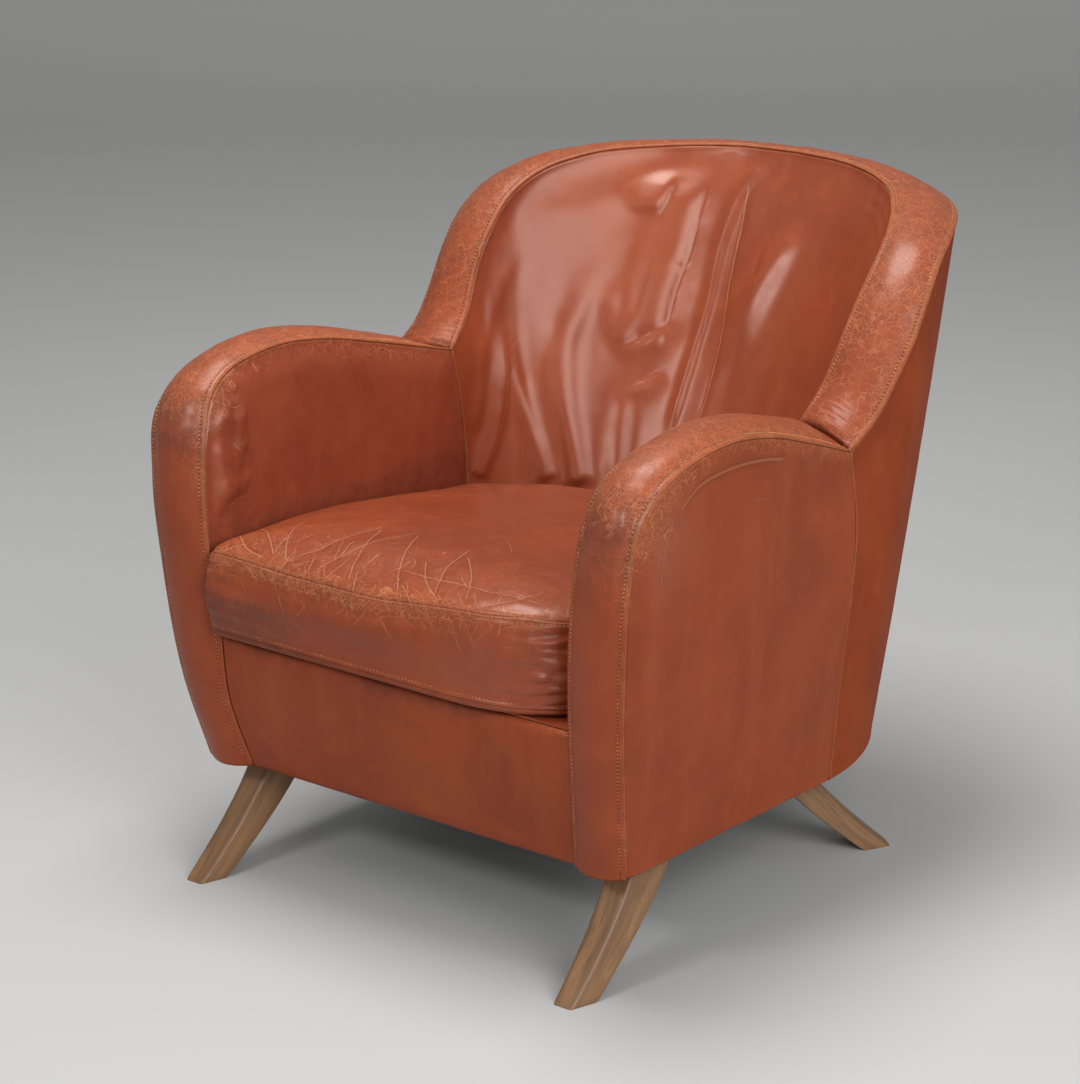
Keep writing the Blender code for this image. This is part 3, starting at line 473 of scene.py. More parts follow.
@dataclass(frozen=True)
class PanelPlan:
    """Ruled shapes of the chair's smooth panels before they swell, crease and fold."""

    seams: SeamPlan = field(default_factory=SeamPlan)
    inset: float = 0.0215
    seam_gap: float = 0.0012
    columns: int = 150

    def _arm_top(self, outer_side: bool, shares: Array) -> tuple[Array, Array]:
        """The upper edge of a panel of the arm, and the line just under it.

        Args:
            outer_side: Whether it is the outside panel.
            shares: Shares of the arm's seams.

        Returns:
            The edge and the line under it.
        """
        inner, outer = self.seams.arm_inner.at(shares), self.seams.arm_outer.at(shares)
        normals = rim_normals(inner, outer)
        seam = outer if outer_side else inner
        return seam - self.seam_gap * normals, seam - self.inset * normals

    def arm_stations(self) -> Array:
        """Shares of the arm's seams for its panels."""
        return turning_stations(self.seams.arm_inner, self.seams.arm_outer, 0.0, 0.9992, self.columns)

    def arm_inside(self) -> Array:
        """Rule the right panel that faces the seat.

        Returns:
            A grid whose columns run from the inside corner to the front.
        """
        shares = self.arm_stations()
        heights = self.seams.arm_inner.at(np.linspace(0.0, 0.5, 200))[:, 2]
        start = float(np.interp(self.seams.deck_front[1] + 0.006, heights, np.linspace(0.0, 0.5, 200)))
        top, under = self._arm_top(False, np.append([start], shares[shares > start + 0.004]))
        front = top[0] + np.array([0.0, self.inset + 0.012, 0.0])
        rear = np.array([self.seams.deck_half_width, self.seams.deck_corner_y, 0.0])
        base = front + (rear - front) * np.linspace(0.0, 1.0, len(top))[:, None]
        base[:, 2] = self.seams.deck_height(base[:, 1])
        corner = self.seams.inside_corner.at(np.linspace(0.0, 1.0, 60))
        return hung_panel(base, top, under, None, corner)[:, ::-1]

    def arm_outside(self) -> Array:
        """Rule the right panel on the arm's outer side.

        Returns:
            A grid whose columns run from the front to the side seam.
        """
        shares = np.maximum(self.arm_stations(), 0.0005)
        top, under = self._arm_top(True, shares)
        half, bottom = self.seams.body_half_width, self.seams.body_bottom
        under[:, 2] -= (under[0, 2] - bottom - 0.0003) * np.exp((shares[0] - shares) / 0.02)
        front = np.array([half, top[0][1] + self.inset + 0.004, bottom])
        rear = np.array([half, self.seams.side_seam_y, bottom])
        base = front + (rear - front) * np.linspace(0.0, 1.0, self.columns)[:, None] ** 1.25
        return hung_panel(base, top, under, None, self.seams.side.at(np.linspace(0.0, 1.0, 60)))

    def _back_top(self, outer_side: bool) -> tuple[Array, Array, Array]:
        """The upper edge of a panel of the back, the line under it, and its shares.

        Args:
            outer_side: Whether it is the outside panel.

        Returns:
            The edge and the line under it from right to left, and the shares of its right half.
        """
        plan = self.seams
        shares = turning_stations(plan.back_inner, plan.back_outer, 0.0012, 1.0, self.columns)
        halves = [seam.at(shares) for seam in (plan.back_inner, plan.back_outer)]
        inner, outer = (np.concatenate([half, half[::-1][1:] * MIRROR]) for half in halves)
        normals = rim_normals(inner, outer)
        seam = outer if outer_side else inner
        return seam - self.seam_gap * normals, seam - self.inset * normals, shares

    def inside_back(self) -> Array:
        """Rule the reclined inside of the tub.

        Returns:
            A grid whose columns run from left to right.
        """
        plan = self.seams
        top, under, _ = self._back_top(False)
        turn = np.linspace(-1.0, 1.0, len(top))
        y = plan.deck_rear[0] + (plan.deck_corner_y - plan.deck_rear[0]) * turn**2
        base = np.stack([plan.deck_half_width * turn, y, plan.deck_height(y)], axis=1)
        corner = plan.inside_corner.at(np.linspace(0.0, 1.0, 60))
        return hung_panel(base, top[::-1], under[::-1], corner * MIRROR, corner)

    def outside_back(self) -> Array:
        """Rule the round outside of the tub.

        Returns:
            A grid whose columns run from the right side seam to the left one.
        """
        plan = self.seams
        top, under, shares = self._back_top(True)
        start = math.asin((plan.side_seam_y - plan.tub_centre_y) / plan.body_half_width)
        angle = start + (math.pi / 2 - start) * shares**1.6
        half = np.stack([plan.body_half_width * np.cos(angle),
                         plan.tub_centre_y + plan.body_half_width * np.sin(angle),
                         np.full_like(angle, plan.body_bottom)], axis=1)
        base = np.concatenate([half, half[::-1][1:] * MIRROR])
        seam = plan.side.at(np.linspace(0.0, 1.0, 60))
        grid = hung_panel(base, top, under, seam, seam * MIRROR)
        turn = np.abs(np.concatenate([shares**1.6 - 1, (1 - shares**1.6)[::-1][1:]]))
        up = np.sin(math.pi * np.linspace(0.0, 1.0, len(grid)))
        swell = 0.008 * (turn**2 * (1 - turn**6))[None] * up[:, None]
        return grid + swell[..., None] * grid_normals(grid)


@dataclass
class Surface:
    """A fine, evenly spaced grid of a cover with lengths along and up it and marks for its finish."""

    grid: Array
    marks: dict[str, Array] = field(default_factory=dict)

    def __post_init__(self) -> None:
        """Measure the surface once, before anything moves it."""
        middle = self.grid.shape[1] // 2
        along = along_lengths(self.grid.transpose(1, 0, 2)).T
        self.u: Array = along - along[:, middle : middle + 1]
        self.v: Array = along_lengths(self.grid)
        self.flat: Array = np.stack([self.u, self.v], axis=-1)
        self.whole_u: Array = along[:, -1:] - along[:, :1]
        self.whole_v: Array = self.v[-1:, :]

    def lift(self, height: Array) -> None:
        """Move every point along its outward direction.

        Args:
            height: How far each point moves, in metres.
        """
        self.grid = self.grid + height[..., None] * grid_normals(self.grid)

    def edge_distance(self, bottom: bool = True) -> Array:
        """How far each point lies from the nearest edge.

        Args:
            bottom: Whether the lower edge counts.

        Returns:
            Distances in metres.
        """
        from_left = self.u - self.u[:, :1]
        near = np.minimum(from_left, self.whole_u - from_left)
        near = np.minimum(near, self.whole_v - self.v)
        return np.minimum(near, self.v) if bottom else near

    def mark(self, name: str, share: Array) -> None:
        """Add to a mark, keeping the greater value at each point.

        Args:
            name: The mark's name.
            share: Shares from 0 to 1, one for each point.
        """
        before = self.marks.get(name, np.zeros(self.grid.shape[:2]))
        self.marks[name] = np.maximum(before, np.broadcast_to(share, before.shape))


# ------------------------------------------------------------------------------ folds and creases
@dataclass(frozen=True)
class Path:
    """A smooth line on a cover, in the cover's own flat coordinates."""

    knots: tuple[tuple[float, float], ...]

    def measure(self, flat: Array, reach: float = 0.12) -> tuple[Array, Array]:
        """Measure how points lie to the line.

        Args:
            flat: Flat coordinates along the last axis.
            reach: How far from the line points are measured at all.

        Returns:
            Signed distances, positive to the right as the cover is looked at, and shares of the
            line's length at the nearest place.
        """
        rising = self.knots[-1][1] >= self.knots[0][1]
        knots = np.array([(*knot, 0.0) for knot in (self.knots if rising else self.knots[::-1])])
        line = Seam(tuple(map(tuple, knots))).at(np.linspace(0.0, 1.0, 97))[:, :2]
        way = unit(np.gradient(line, axis=0))
        shape = flat.shape[:-1]
        points = flat.reshape(-1, 2)
        low, high = line.min(axis=0) - reach, line.max(axis=0) + reach
        near = np.nonzero(((points > low) & (points < high)).all(axis=1))[0]
        distance, share = np.full(len(points), reach), np.zeros(len(points))
        if len(near):
            gap = points[near, None] - line[None]
            index = np.argmin((gap**2).sum(axis=2), axis=1)
            offset = gap[np.arange(len(near)), index]
            along = (offset * way[index]).sum(axis=1)
            side = way[index, 1] * offset[:, 0] - way[index, 0] * offset[:, 1]
            beyond = ((index == 0) & (along < 0)) | ((index == 96) & (along > 0))
            size = np.where(beyond, np.hypot(along, side), np.abs(side))
            distance[near] = np.where(side < 0, -size, size)
            share[near] = index / 96.0
        share = share if rising else 1.0 - share
        return distance.reshape(shape), share.reshape(shape)


@dataclass(frozen=True)
class Fold:
    """A ridge, or with a negative height a furrow, that runs along a cover."""

    knots: tuple[tuple[float, float], ...]
    height: float
    left: float
    right: float
    start: float = 0.30
    end: float = 0.30
    power: float = 2.0

    def rise(self, flat: Array) -> Array:
        """Heights of the fold.

        Args:
            flat: Flat coordinates of the cover's points.

        Returns:
            How far each point is lifted, in metres.
        """
        distance, share = Path(self.knots).measure(flat)
        width = np.where(distance < 0, self.left, self.right)
        strength = np.ones_like(share)
        if self.start > 0:
            strength = strength * ramp(share, 0.0, self.start)
        if self.end > 0:
            strength = strength * ramp(share, 1.0, 1.0 - self.end)
        return self.height * strength * np.exp(-np.abs(distance / width) ** self.power)


@dataclass(frozen=True)
class Tuck:
    """A fold that laps over: a rounded flank on one side of a sharp line, and a hollow beside it."""

    knots: tuple[tuple[float, float], ...]
    height: float
    flank: float
    hollow: float = 0.0012
    side: int = -1
    start: float = 0.25
    end: float = 0.20

    def rise(self, flat: Array) -> Array:
        """Heights of the fold.

        Args:
            flat: Flat coordinates of the cover's points.

        Returns:
            How far each point is lifted, in metres.
        """
        distance, share = Path(self.knots).measure(flat)
        strength = np.ones_like(share)
        if self.start > 0:
            strength = strength * ramp(share, 0.0, self.start)
        if self.end > 0:
            strength = strength * ramp(share, 1.0, 1.0 - self.end)
        reach = np.clip(distance * self.side, 0.0, None) / self.flank
        lap = self.height * reach * np.exp(1.0 - reach) * bell(reach, 2.6)
        return strength * (lap - self.hollow * np.exp(-np.abs(distance) / (0.5 * self.flank)))


@dataclass(frozen=True)
class Crease:
    """A fine worn line where the leather has cracked or been pressed."""

    knots: tuple[tuple[float, float], ...]
    depth: float = 0.0006
    width: float = 0.0035
    strength: float = 1.0


@dataclass(frozen=True)
class CreaseSet:
    """Creases that don't cross each other, so that one signed distance describes them all."""

    name: str
    creases: tuple[Crease, ...]

    def press(self, surface: Surface, flat: Array) -> None:
        """Sink the creases into a surface and mark where they run.

        Args:
            surface: The surface to change.
            flat: Flat coordinates of its points.
        """
        nearest = np.full(flat.shape[:-1], 0.05)
        visible = np.zeros(flat.shape[:-1])
        sunk = np.zeros(flat.shape[:-1])
        for crease in self.creases:
            distance, share = Path(crease.knots).measure(flat, 0.03)
            strength = crease.strength * ramp(share, 0.0, 0.12) * ramp(share, 1.0, 0.80)
            closer = np.abs(distance) < np.abs(nearest)
            nearest = np.where(closer, distance, nearest)
            visible = np.where(closer, strength * ramp(np.abs(distance), 0.010, 0.005), visible)
            sunk = sunk - crease.depth * strength * bell(distance, crease.width)
        surface.lift(sunk)
        surface.marks[self.name] = np.stack([nearest, visible, np.zeros_like(visible)], axis=-1)

    @staticmethod
    def share_out(creases: tuple[Crease, ...], names: tuple[str, ...], clear: float = 0.011) -> "tuple[CreaseSet, ...]":
        """Put creases that meet or lie close together into different sets.

        Args:
            creases: All creases, the most important first.
            names: The names of the sets.
            clear: How far creases of one set stay apart.

        Returns:
            The sets; a crease that fits none is left out.
        """
        sets: dict[str, list[tuple[Crease, Array]]] = {name: [] for name in names}
        for crease in creases:
            knots = np.array([(*knot, 0.0) for knot in crease.knots])
            line = line_at(knots, np.linspace(0.0, 1.0, 24))
            for members in sets.values():
                gaps = [np.linalg.norm(line[:, None] - other[None], axis=2).min() for _, other in members]
                if not gaps or min(gaps) > clear:
                    members.append((crease, line))
                    break
        return tuple(CreaseSet(name, tuple(crease for crease, _ in members)) for name, members in sets.items())


# ------------------------------------------------------------------------------ meshes
def grid_faces(rows: int, columns: int, closed: bool = False) -> Array:
    """Quads of a grid of points, facing outwards.

    Args:
        rows: How many rows of points.
        columns: How many columns of points.
        closed: Whether the last column joins the first.

    Returns:
        Corner numbers, four for each face.
    """
    across = columns if closed else columns - 1
    row, column = np.mgrid[0 : rows - 1, 0:across]
    here = (row * columns + column).ravel()
    there = (row * columns + (column + 1) % columns).ravel()
    return np.stack([here, there, there + columns, here + columns], axis=1)


def edge_ring(rows: int, columns: int) -> Array:
    """Numbers of a grid's edge points, once round.

    Args:
        rows: How many rows of points.
        columns: How many columns of points.

    Returns:
        Point numbers in order.
    """
    numbers = np.arange(rows * columns).reshape(rows, columns)
    return np.concatenate([numbers[:, 0], numbers[-1, 1:], numbers[-2::-1, -1], numbers[0, -2:0:-1]])


class Workshop:
    """Makes the chair's pieces and tells the frame about them."""

    def __init__(self) -> None:
        """Start with an empty collection for the pieces."""
        self.collection = bpy.data.collections.new("upholstery")
        bpy.context.scene.collection.children.link(self.collection)

    def mesh(self, name: str, points: Array, faces: Array | list, marks: dict[str, Array] | None = None,
             smooth: bool = True) -> bpy.types.Object:
        """Make a mesh object that rides on the chair.

        Args:
            name: The piece's name.
            points: Its points.
            faces: Corner numbers of its faces.
            marks: Values for its finish, one for each point.
            smooth: Whether its faces are shaded smooth.

        Returns:
            The new object.
        """
        mesh = bpy.data.meshes.new(name)
        mesh.from_pydata(np.asarray(points, dtype=float).tolist(), [], [list(map(int, face)) for face in faces])
        mesh.polygons.foreach_set("use_smooth", np.full(len(mesh.polygons), smooth))
        for label, values in (marks or {}).items():
            values = np.asarray(values, dtype=np.float32)
            vector = values.ndim == 2
            attribute = mesh.attributes.new(label, "FLOAT_VECTOR" if vector else "FLOAT", "POINT")
            attribute.data.foreach_set("vector" if vector else "value", values.ravel())
        mesh.update()
        thing = bpy.data.objects.new(name, mesh)
        self.collection.objects.link(thing)
        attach(thing, "root")
        log.info("%s: %d points, %d faces", name, len(points), len(faces))
        return thing

    def shell(self, name: str, surface: Surface, thickness: float) -> bpy.types.Object:
        """Make a closed skin from a surface, thickened inwards.

        Args:
            name: The piece's name.
            surface: The outer surface with its marks.
            thickness: Thickness of the leather.

        Returns:
            The new object.
        """
        grid = surface.grid
        rows, columns = grid.shape[:2]
        count = rows * columns
        back = grid - thickness * grid_normals(grid)
        faces = grid_faces(rows, columns)
        ring = edge_ring(rows, columns)
        after = np.roll(ring, -1)
        walls = np.stack([ring, after, after + count, ring + count], axis=1)
        points = np.concatenate([grid.reshape(-1, 3), back.reshape(-1, 3)])
        marks = {}
        for label, values in surface.marks.items():
            flat = values.reshape(count, -1) if values.ndim == 3 else values.ravel()
            marks[label] = np.concatenate([flat, flat])
        faces = np.concatenate([faces, faces[:, ::-1] + count, walls])
        return self.mesh(name, points, faces, marks)


def dress(thing: bpy.types.Object, material: bpy.types.Material) -> None:
    """Give a piece its finish.

    Args:
        thing: The piece.
        material: Its finish.
    """
    thing.data.materials.clear()
    thing.data.materials.append(material)


# ------------------------------------------------------------------------------ finishes
Operand = "Wire | float"
Colour = tuple[float, float, float]


class Wire:
    """A socket that carries a value, colour or vector, with arithmetic for values."""

    def __init__(self, bench: "Bench", socket: bpy.types.NodeSocket) -> None:
        """Hold a socket of a bench's material."""
        self.bench, self.socket = bench, socket

    def _join(self, operation: str, first: Operand, second: Operand) -> "Wire":
        """Add a Math node.

        Args:
            operation: The node's operation.
            first: Its first value.
            second: Its second value.

        Returns:
            The result.
        """
        return self.bench.node("ShaderNodeMath", {"operation": operation}, {0: first, 1: second})

    def __add__(self, other: Operand) -> "Wire":
        """The sum."""
        return self._join("ADD", self, other)

    __radd__ = __add__

    def __sub__(self, other: Operand) -> "Wire":
        """The difference."""
        return self._join("SUBTRACT", self, other)

    def __rsub__(self, other: Operand) -> "Wire":
        """The difference from a number."""
        return self._join("SUBTRACT", other, self)

    def __mul__(self, other: Operand) -> "Wire":
        """The product."""
        return self._join("MULTIPLY", self, other)

    __rmul__ = __mul__

    def __truediv__(self, other: Operand) -> "Wire":
        """The quotient."""
        return self._join("DIVIDE", self, other)

    def __pow__(self, other: Operand) -> "Wire":
        """The power."""
        return self._join("POWER", self, other)

    def __abs__(self) -> "Wire":
        """The size without its sign."""
        return self._join("ABSOLUTE", self, 0.0)

    def most(self, other: Operand) -> "Wire":
        """The greater of two values."""
        return self._join("MAXIMUM", self, other)

    def least(self, other: Operand) -> "Wire":
        """The smaller of two values."""
        return self._join("MINIMUM", self, other)

    def ramp(self, low: float, high: float) -> "Wire":
        """Rise smoothly from 0 to 1 between two values.

        Args:
            low: Where the rise starts.
            high: Where it ends; it may be below low.

        Returns:
            Shares from 0 to 1.
        """
        flip = high < low
        start, end = (high, low) if flip else (low, high)
        share = self.bench.node(
            "ShaderNodeMapRange", {"interpolation_type": "SMOOTHSTEP"},
            {"Value": self, "From Min": start, "From Max": end, "To Min": 0.0, "To Max": 1.0}, "Result")
        return 1.0 - share if flip else share


class Bench:
    """One material in the making."""

    def __init__(self, name: str) -> None:
        """Start a material with its shader and output.

        Args:
            name: The material's name.
        """
        self.material = bpy.data.materials.new(name)
        self.material.use_nodes = True
        self.tree = self.material.node_tree
        self.shader = self.tree.nodes["Principled BSDF"]

    def node(self, kind: str, settings: dict | None = None, inputs: dict | None = None,
             output: str | int = 0) -> Wire:
        """Add a node.

        Args:
            kind: The node's type.
            settings: What is set first; "stops" holds a ramp's places and colours.
            inputs: Values or wires of its sockets by name or number.
            output: Which output to return.

        Returns:
            A wire from the output.
        """
        node = self.tree.nodes.new(kind)
        for key, value in (settings or {}).items():
            if key == "stops":
                elements = node.color_ramp.elements
                while len(elements) < len(value):
                    elements.new(1.0)
                for element, (place, colour) in zip(elements, value):
                    element.position, element.color = place, (*colour, 1.0)
            else:
                setattr(node, key, value)
        for key, value in (inputs or {}).items():
            self.plug(node.inputs[key], value)
        return Wire(self, node.outputs[output])

    def plug(self, socket: bpy.types.NodeSocket, value: "Wire | float | tuple") -> None:
        """Set a socket's value or link a wire to it.

        Args:
            socket: The socket.
            value: A wire, a number or a tuple.
        """
        if isinstance(value, Wire):
            self.tree.links.new(value.socket, socket)
        elif isinstance(value, tuple) and socket.type == "RGBA" and len(value) == 3:
            socket.default_value = (*value, 1.0)
        else:
            socket.default_value = value

    def place(self) -> Wire:
        """The position on the object."""
        return self.node("ShaderNodeTexCoord", output="Object")

    def mark(self, name: str) -> Wire:
        """A value stored at the mesh's points."""
        return self.node("ShaderNodeAttribute", {"attribute_name": name}, output="Fac")

    def crease(self, name: str) -> tuple[Wire, Wire]:
        """The signed distance and the strength of a set of creases."""
        vector = self.node("ShaderNodeAttribute", {"attribute_name": name}, output="Vector")
        split = self.node("ShaderNodeSeparateXYZ", inputs={0: vector})
        return split, Wire(self, split.socket.node.outputs[1])

    def noise(self, place: Wire, scale: float, detail: float = 2.0, rough: float = 0.5,
              warp: float = 0.0) -> Wire:
        """Smooth noise from 0 to 1.

        Args:
            place: Where to evaluate it.
            scale: Lumps in a metre.
            detail: How many finer layers.
            rough: How strong the finer layers are.
            warp: How much it is distorted.

        Returns:
            The noise.
        """
        return self.node("ShaderNodeTexNoise", {"noise_dimensions": "3D"},
                         {"Vector": place, "Scale": scale, "Detail": detail, "Roughness": rough,
                          "Distortion": warp}, "Fac")

    def cells(self, place: Wire, scale: float, feature: str = "F1", output: str = "Distance") -> Wire:
        """Cell noise.

        Args:
            place: Where to evaluate it.
            scale: Cells in a metre.
            feature: Which feature of the cells.
            output: Which output to return.

        Returns:
            The chosen output.
        """
        return self.node("ShaderNodeTexVoronoi", {"feature": feature}, {"Vector": place, "Scale": scale}, output)

    def moved(self, place: Wire, scale: float, amount: float, stretch: Point = (1.0, 1.0, 1.0)) -> Wire:
        """Stir positions with coloured noise, after an optional stretch.

        Args:
            place: Positions.
            scale: Lumps of the stirring in a metre.
            amount: How far positions move, in metres.
            stretch: Factors along the three axes.

        Returns:
            Stirred positions.
        """
        colour = self.node("ShaderNodeTexNoise", {}, {"Vector": place, "Scale": scale, "Detail": 2.0}, "Color")
        offset = self.node("ShaderNodeVectorMath", {"operation": "MULTIPLY_ADD"},
                           {0: colour, 1: (2 * amount,) * 3, 2: (-amount,) * 3})
        total = self.node("ShaderNodeVectorMath", {"operation": "ADD"}, {0: place, 1: offset})
        return self.node("ShaderNodeVectorMath", {"operation": "MULTIPLY"}, {0: total, 1: stretch})

    def blend(self, share: "Wire | float", first: "Wire | Colour", second: "Wire | Colour",
              mode: str = "MIX") -> Wire:
        """Mix two colours.

        Args:
            share: Share of the second colour.
            first: The first colour.
            second: The second colour.
            mode: How they are mixed.

        Returns:
            The mixed colour.
        """
        return self.node("ShaderNodeMix", {"data_type": "RGBA", "blend_type": mode},
                         {0: share, 6: first, 7: second}, 2)

    def relief(self, height: Wire, strength: float = 1.0) -> None:
        """Turn a height in millimetres into the shader's surface relief.

        Args:
            height: The height.
            strength: How much of it shows.
        """
        normal = self.node("ShaderNodeBump", {}, {"Height": height, "Distance": 0.001, "Strength": strength})
        self.plug(self.shader.inputs["Normal"], normal)

    def set(self, **values: "Wire | float | tuple") -> None:
        """Set the shader's sockets; underscores stand for spaces."""
        for key, value in values.items():
            self.plug(self.shader.inputs[key.replace("_", " ")], value)


@dataclass(frozen=True)
class LeatherFinish:
    """Cognac leather that has been polished, scuffed and cracked by years of use."""

    name: str
    low: Colour = (0.225, 0.042, 0.016)
    mid: Colour = (0.285, 0.056, 0.019)
    high: Colour = (0.345, 0.080, 0.027)
    # Dark tone for patina and grime, also used for painted shade in seams, creases, stitch holes and hollows.
    patina: Colour = (0.105, 0.030, 0.019)
    bare: Colour = (0.520, 0.205, 0.090)
    warm_gloss: Colour = (1.0, 0.72, 0.60)
    roughness: float = 0.46
    shine: float = 0.03
    reflect: float = 0.30
    streaks: float = 0.0
    seam_dark: float = 0.45
    crack_show: float = 0.62
    crease_sets: tuple[str, ...] = ()
    crease_width: float = 0.0008
    crease_show: float = 1.0
    stitched: bool = False
    fringed: bool = False

    def net(self, bench: Bench, place: Wire, size: float, width: float, stretch: Point = (1.0, 1.0, 1.0),
            stir: float = 0.34) -> Wire:
        """Draw a net of wandering cracks.

        Args:
            bench: The material in the making.
            place: Positions on the object.
            size: Size of the net's meshes, in metres.
            width: Half the width of a crack, in metres.
            stretch: Factors that draw the meshes out along the axes.
            stir: How far the cracks wander, as a share of the size.

        Returns:
            Shares from 0 to 1.
        """
        stirred = bench.moved(place, 0.8 / size, stir * size, stretch)
        return bench.cells(stirred, 1 / size, "DISTANCE_TO_EDGE").ramp(1.6 * width / size, 0.3 * width / size)

    def scratches(self, bench: Bench, place: Wire, way: Point, spacing: float) -> Wire:
        """Draw long wandering scratches that run roughly the same way.

        Args:
            bench: The material in the making.
            place: Positions on the object.
            way: The direction across the scratches.
            spacing: Their usual distance, in metres.

        Returns:
            Shares from 0 to 1.
        """
        across = bench.node("ShaderNodeVectorMath", {"operation": "DOT_PRODUCT"}, {0: place, 1: way}, "Value")
        drift = bench.noise(place, 0.45 / spacing, 1.0, 0.4) * 2.6 + bench.noise(place, 3.2 / spacing, 1.0, 0.5) * 0.22
        line = bench.node("ShaderNodeMath", {"operation": "PINGPONG"}, {0: across / spacing + drift, 1: 0.5})
        return line.ramp(0.00052 / spacing, 0.00014 / spacing)

    def cracks(self, bench: Bench, place: Wire, wear: Wire) -> Wire:
        """Draw the fine cracks and scratches where the leather is worn.

        Args:
            bench: The material in the making.
            place: Positions on the object.
            wear: How worn each place is.

        Returns:
            Shares of bare leather.
        """
        lines = None
        for way, spacing, patches, start in (
                ((0.80, 0.25, 0.55), 0.0155, 34.0, 0.96), ((-0.50, 0.62, 0.60), 0.0190, 41.0, 0.99),
                ((0.30, 0.85, -0.45), 0.0170, 47.0, 0.98)):
            seen = (wear + bench.noise(place, patches, 3.0, 0.6, 0.5)).ramp(start, start + 0.30)
            line = self.scratches(bench, place, way, spacing) * seen * 0.85
            lines = line if lines is None else lines.most(line)
        for size, width, stretch, patches, start, show in (
                (0.0105, 0.00027, (0.7, 1.0, 1.1), 60.0, 1.06, 0.80), (0.0048, 0.00022, (1.0, 1.0, 1.0), 90.0, 1.14, 0.70)):
            seen = (wear + bench.noise(place, patches, 3.0, 0.6, 0.5)).ramp(start, start + 0.25)
            lines = lines.most(self.net(bench, place, size, width, stretch) * seen * show)
        breaks = bench.noise(place, 170.0, 2.0, 0.6)
        lines = lines * breaks.ramp(0.28, 0.48)
        if self.fringed:
            short = self.net(bench, place, 0.0125, 0.00040, (1.0, 0.6, 0.34), 0.30)
            gaps = bench.noise(place, 80.0, 2.0, 0.6)
            lines = lines.most(short * (bench.mark("fringe") * 0.55 + gaps).ramp(0.86, 1.08) * 0.70)
        return lines

    def make(self) -> bpy.types.Material:
        """Make the material.

        Returns:
            The material.
        """
        bench = Bench(self.name)
        place = bench.place()
        wear, patina, gloss, seam = (bench.mark(label) for label in ("wear", "patina", "gloss", "seam"))
        cloud = bench.noise(place, 6.0, 4.0, 0.55, 0.6)
        mottle = bench.noise(place, 42.0, 4.0, 0.6)
        fine = bench.noise(place, 260.0, 3.0, 0.6)
        colour = bench.blend(cloud.ramp(0.30, 0.70), self.low, self.mid)
        if self.streaks:
            hung = bench.noise(bench.moved(place, 5.0, 0.02, (1.0, 1.0, 0.13)), 26.0, 3.0, 0.55)
            colour = bench.blend(hung.ramp(0.46, 0.78) * self.streaks, colour, self.high)
            colour = bench.blend(hung.ramp(0.50, 0.22) * self.streaks * 0.7, colour, self.low)
        colour = bench.blend(mottle.ramp(0.45, 0.85) * 0.40, colour, self.high)
        colour = bench.blend(mottle.ramp(0.42, 0.20) * 0.25, colour, self.low)
        scuffed = (wear * (0.45 + mottle * 0.9)).ramp(0.25, 0.95)
        colour = bench.blend(scuffed * 0.30, colour, self.high)
        stain = bench.noise(place, 60.0, 3.0, 0.65)
        # Darkening from the patina mark: real patina in places, painted shade in others, such as under the cushion, low
        # on its boxing and in folds.
        soiled = (patina * (0.35 + stain * 1.3)).ramp(0.30, 0.95)
        grime = (wear * stain.ramp(0.45, 0.60)) * 0.30
        colour = bench.blend((soiled * 0.72).most(grime), colour, self.patina)
        lines = self.cracks(bench, place, wear)
        wander = bench.noise(place, 150.0, 3.0, 0.7)
        breaks = bench.noise(place, 75.0, 2.0, 0.5)
        shadow = None
        for label in self.crease_sets:
            distance, near = bench.crease(label)
            offset = abs(distance + (wander - 0.5) * 0.0028)
            seen = (near * (0.45 + breaks * 1.2)).ramp(0.25, 0.75)
            lines = lines.most(offset.ramp(1.5 * self.crease_width, 0.3 * self.crease_width) * seen * self.crease_show)
            flank = offset.ramp(4.5 * self.crease_width, 1.5 * self.crease_width) * seen
            shadow = flank if shadow is None else shadow.most(flank)
        if shadow is not None:
            colour = bench.blend(shadow * 0.30, colour, self.patina)
        colour = bench.blend(lines * self.crack_show, colour, self.bare)
        # A paler line just beside each seam: partly rubbed wear, partly a painted highlight on the raised, rolled edge.
        rubbed_and_lit_edge = seam.ramp(0.40, 0.58) * seam.ramp(0.80, 0.70) * (mottle + wear * 0.3).ramp(0.46, 0.72)
        colour = bench.blend(rubbed_and_lit_edge * 0.14, colour, self.bare)
        # Painted shade: a dark line in each seam's groove.
        colour = bench.blend(seam.ramp(0.82, 0.93) * self.seam_dark, colour, self.patina)
        pore = bench.cells(bench.moved(place, 400.0, 0.0006), 900.0)
        rough = self.roughness + (mottle - 0.5) * 0.16 + scuffed * 0.08 - gloss * 0.12 - soiled * 0.06 + lines * 0.12
        height = pore * 0.08 + fine * 0.10 + mottle * 0.30 * (0.5 + wear) - lines * 0.24
        if self.stitched:
            pitch = 2 * math.pi / Thread.pitch
            wave = bench.node("ShaderNodeMath", {"operation": "COSINE"}, {0: bench.mark("along") * pitch})
            holes = wave.ramp(0.1, -0.6) * bench.mark("row").ramp(0.50, 0.72)
            # Painted shade in the stitch holes.
            colour = bench.blend(holes * 0.55, colour, tuple(part * 0.4 for part in self.patina))
            height = height - holes * 0.5 + wave * bench.mark("row").ramp(0.25, 0.70) * 0.12
        bench.set(Base_Color=colour, Roughness=rough.most(0.2).least(0.8),
                  Coat_Weight=(self.shine + gloss * 0.42).least(1.0),
                  Coat_Roughness=0.28, Coat_IOR=1.45, Specular_IOR_Level=self.reflect, Specular_Tint=self.warm_gloss)
        bench.relief(height, 0.75)
        return bench.material


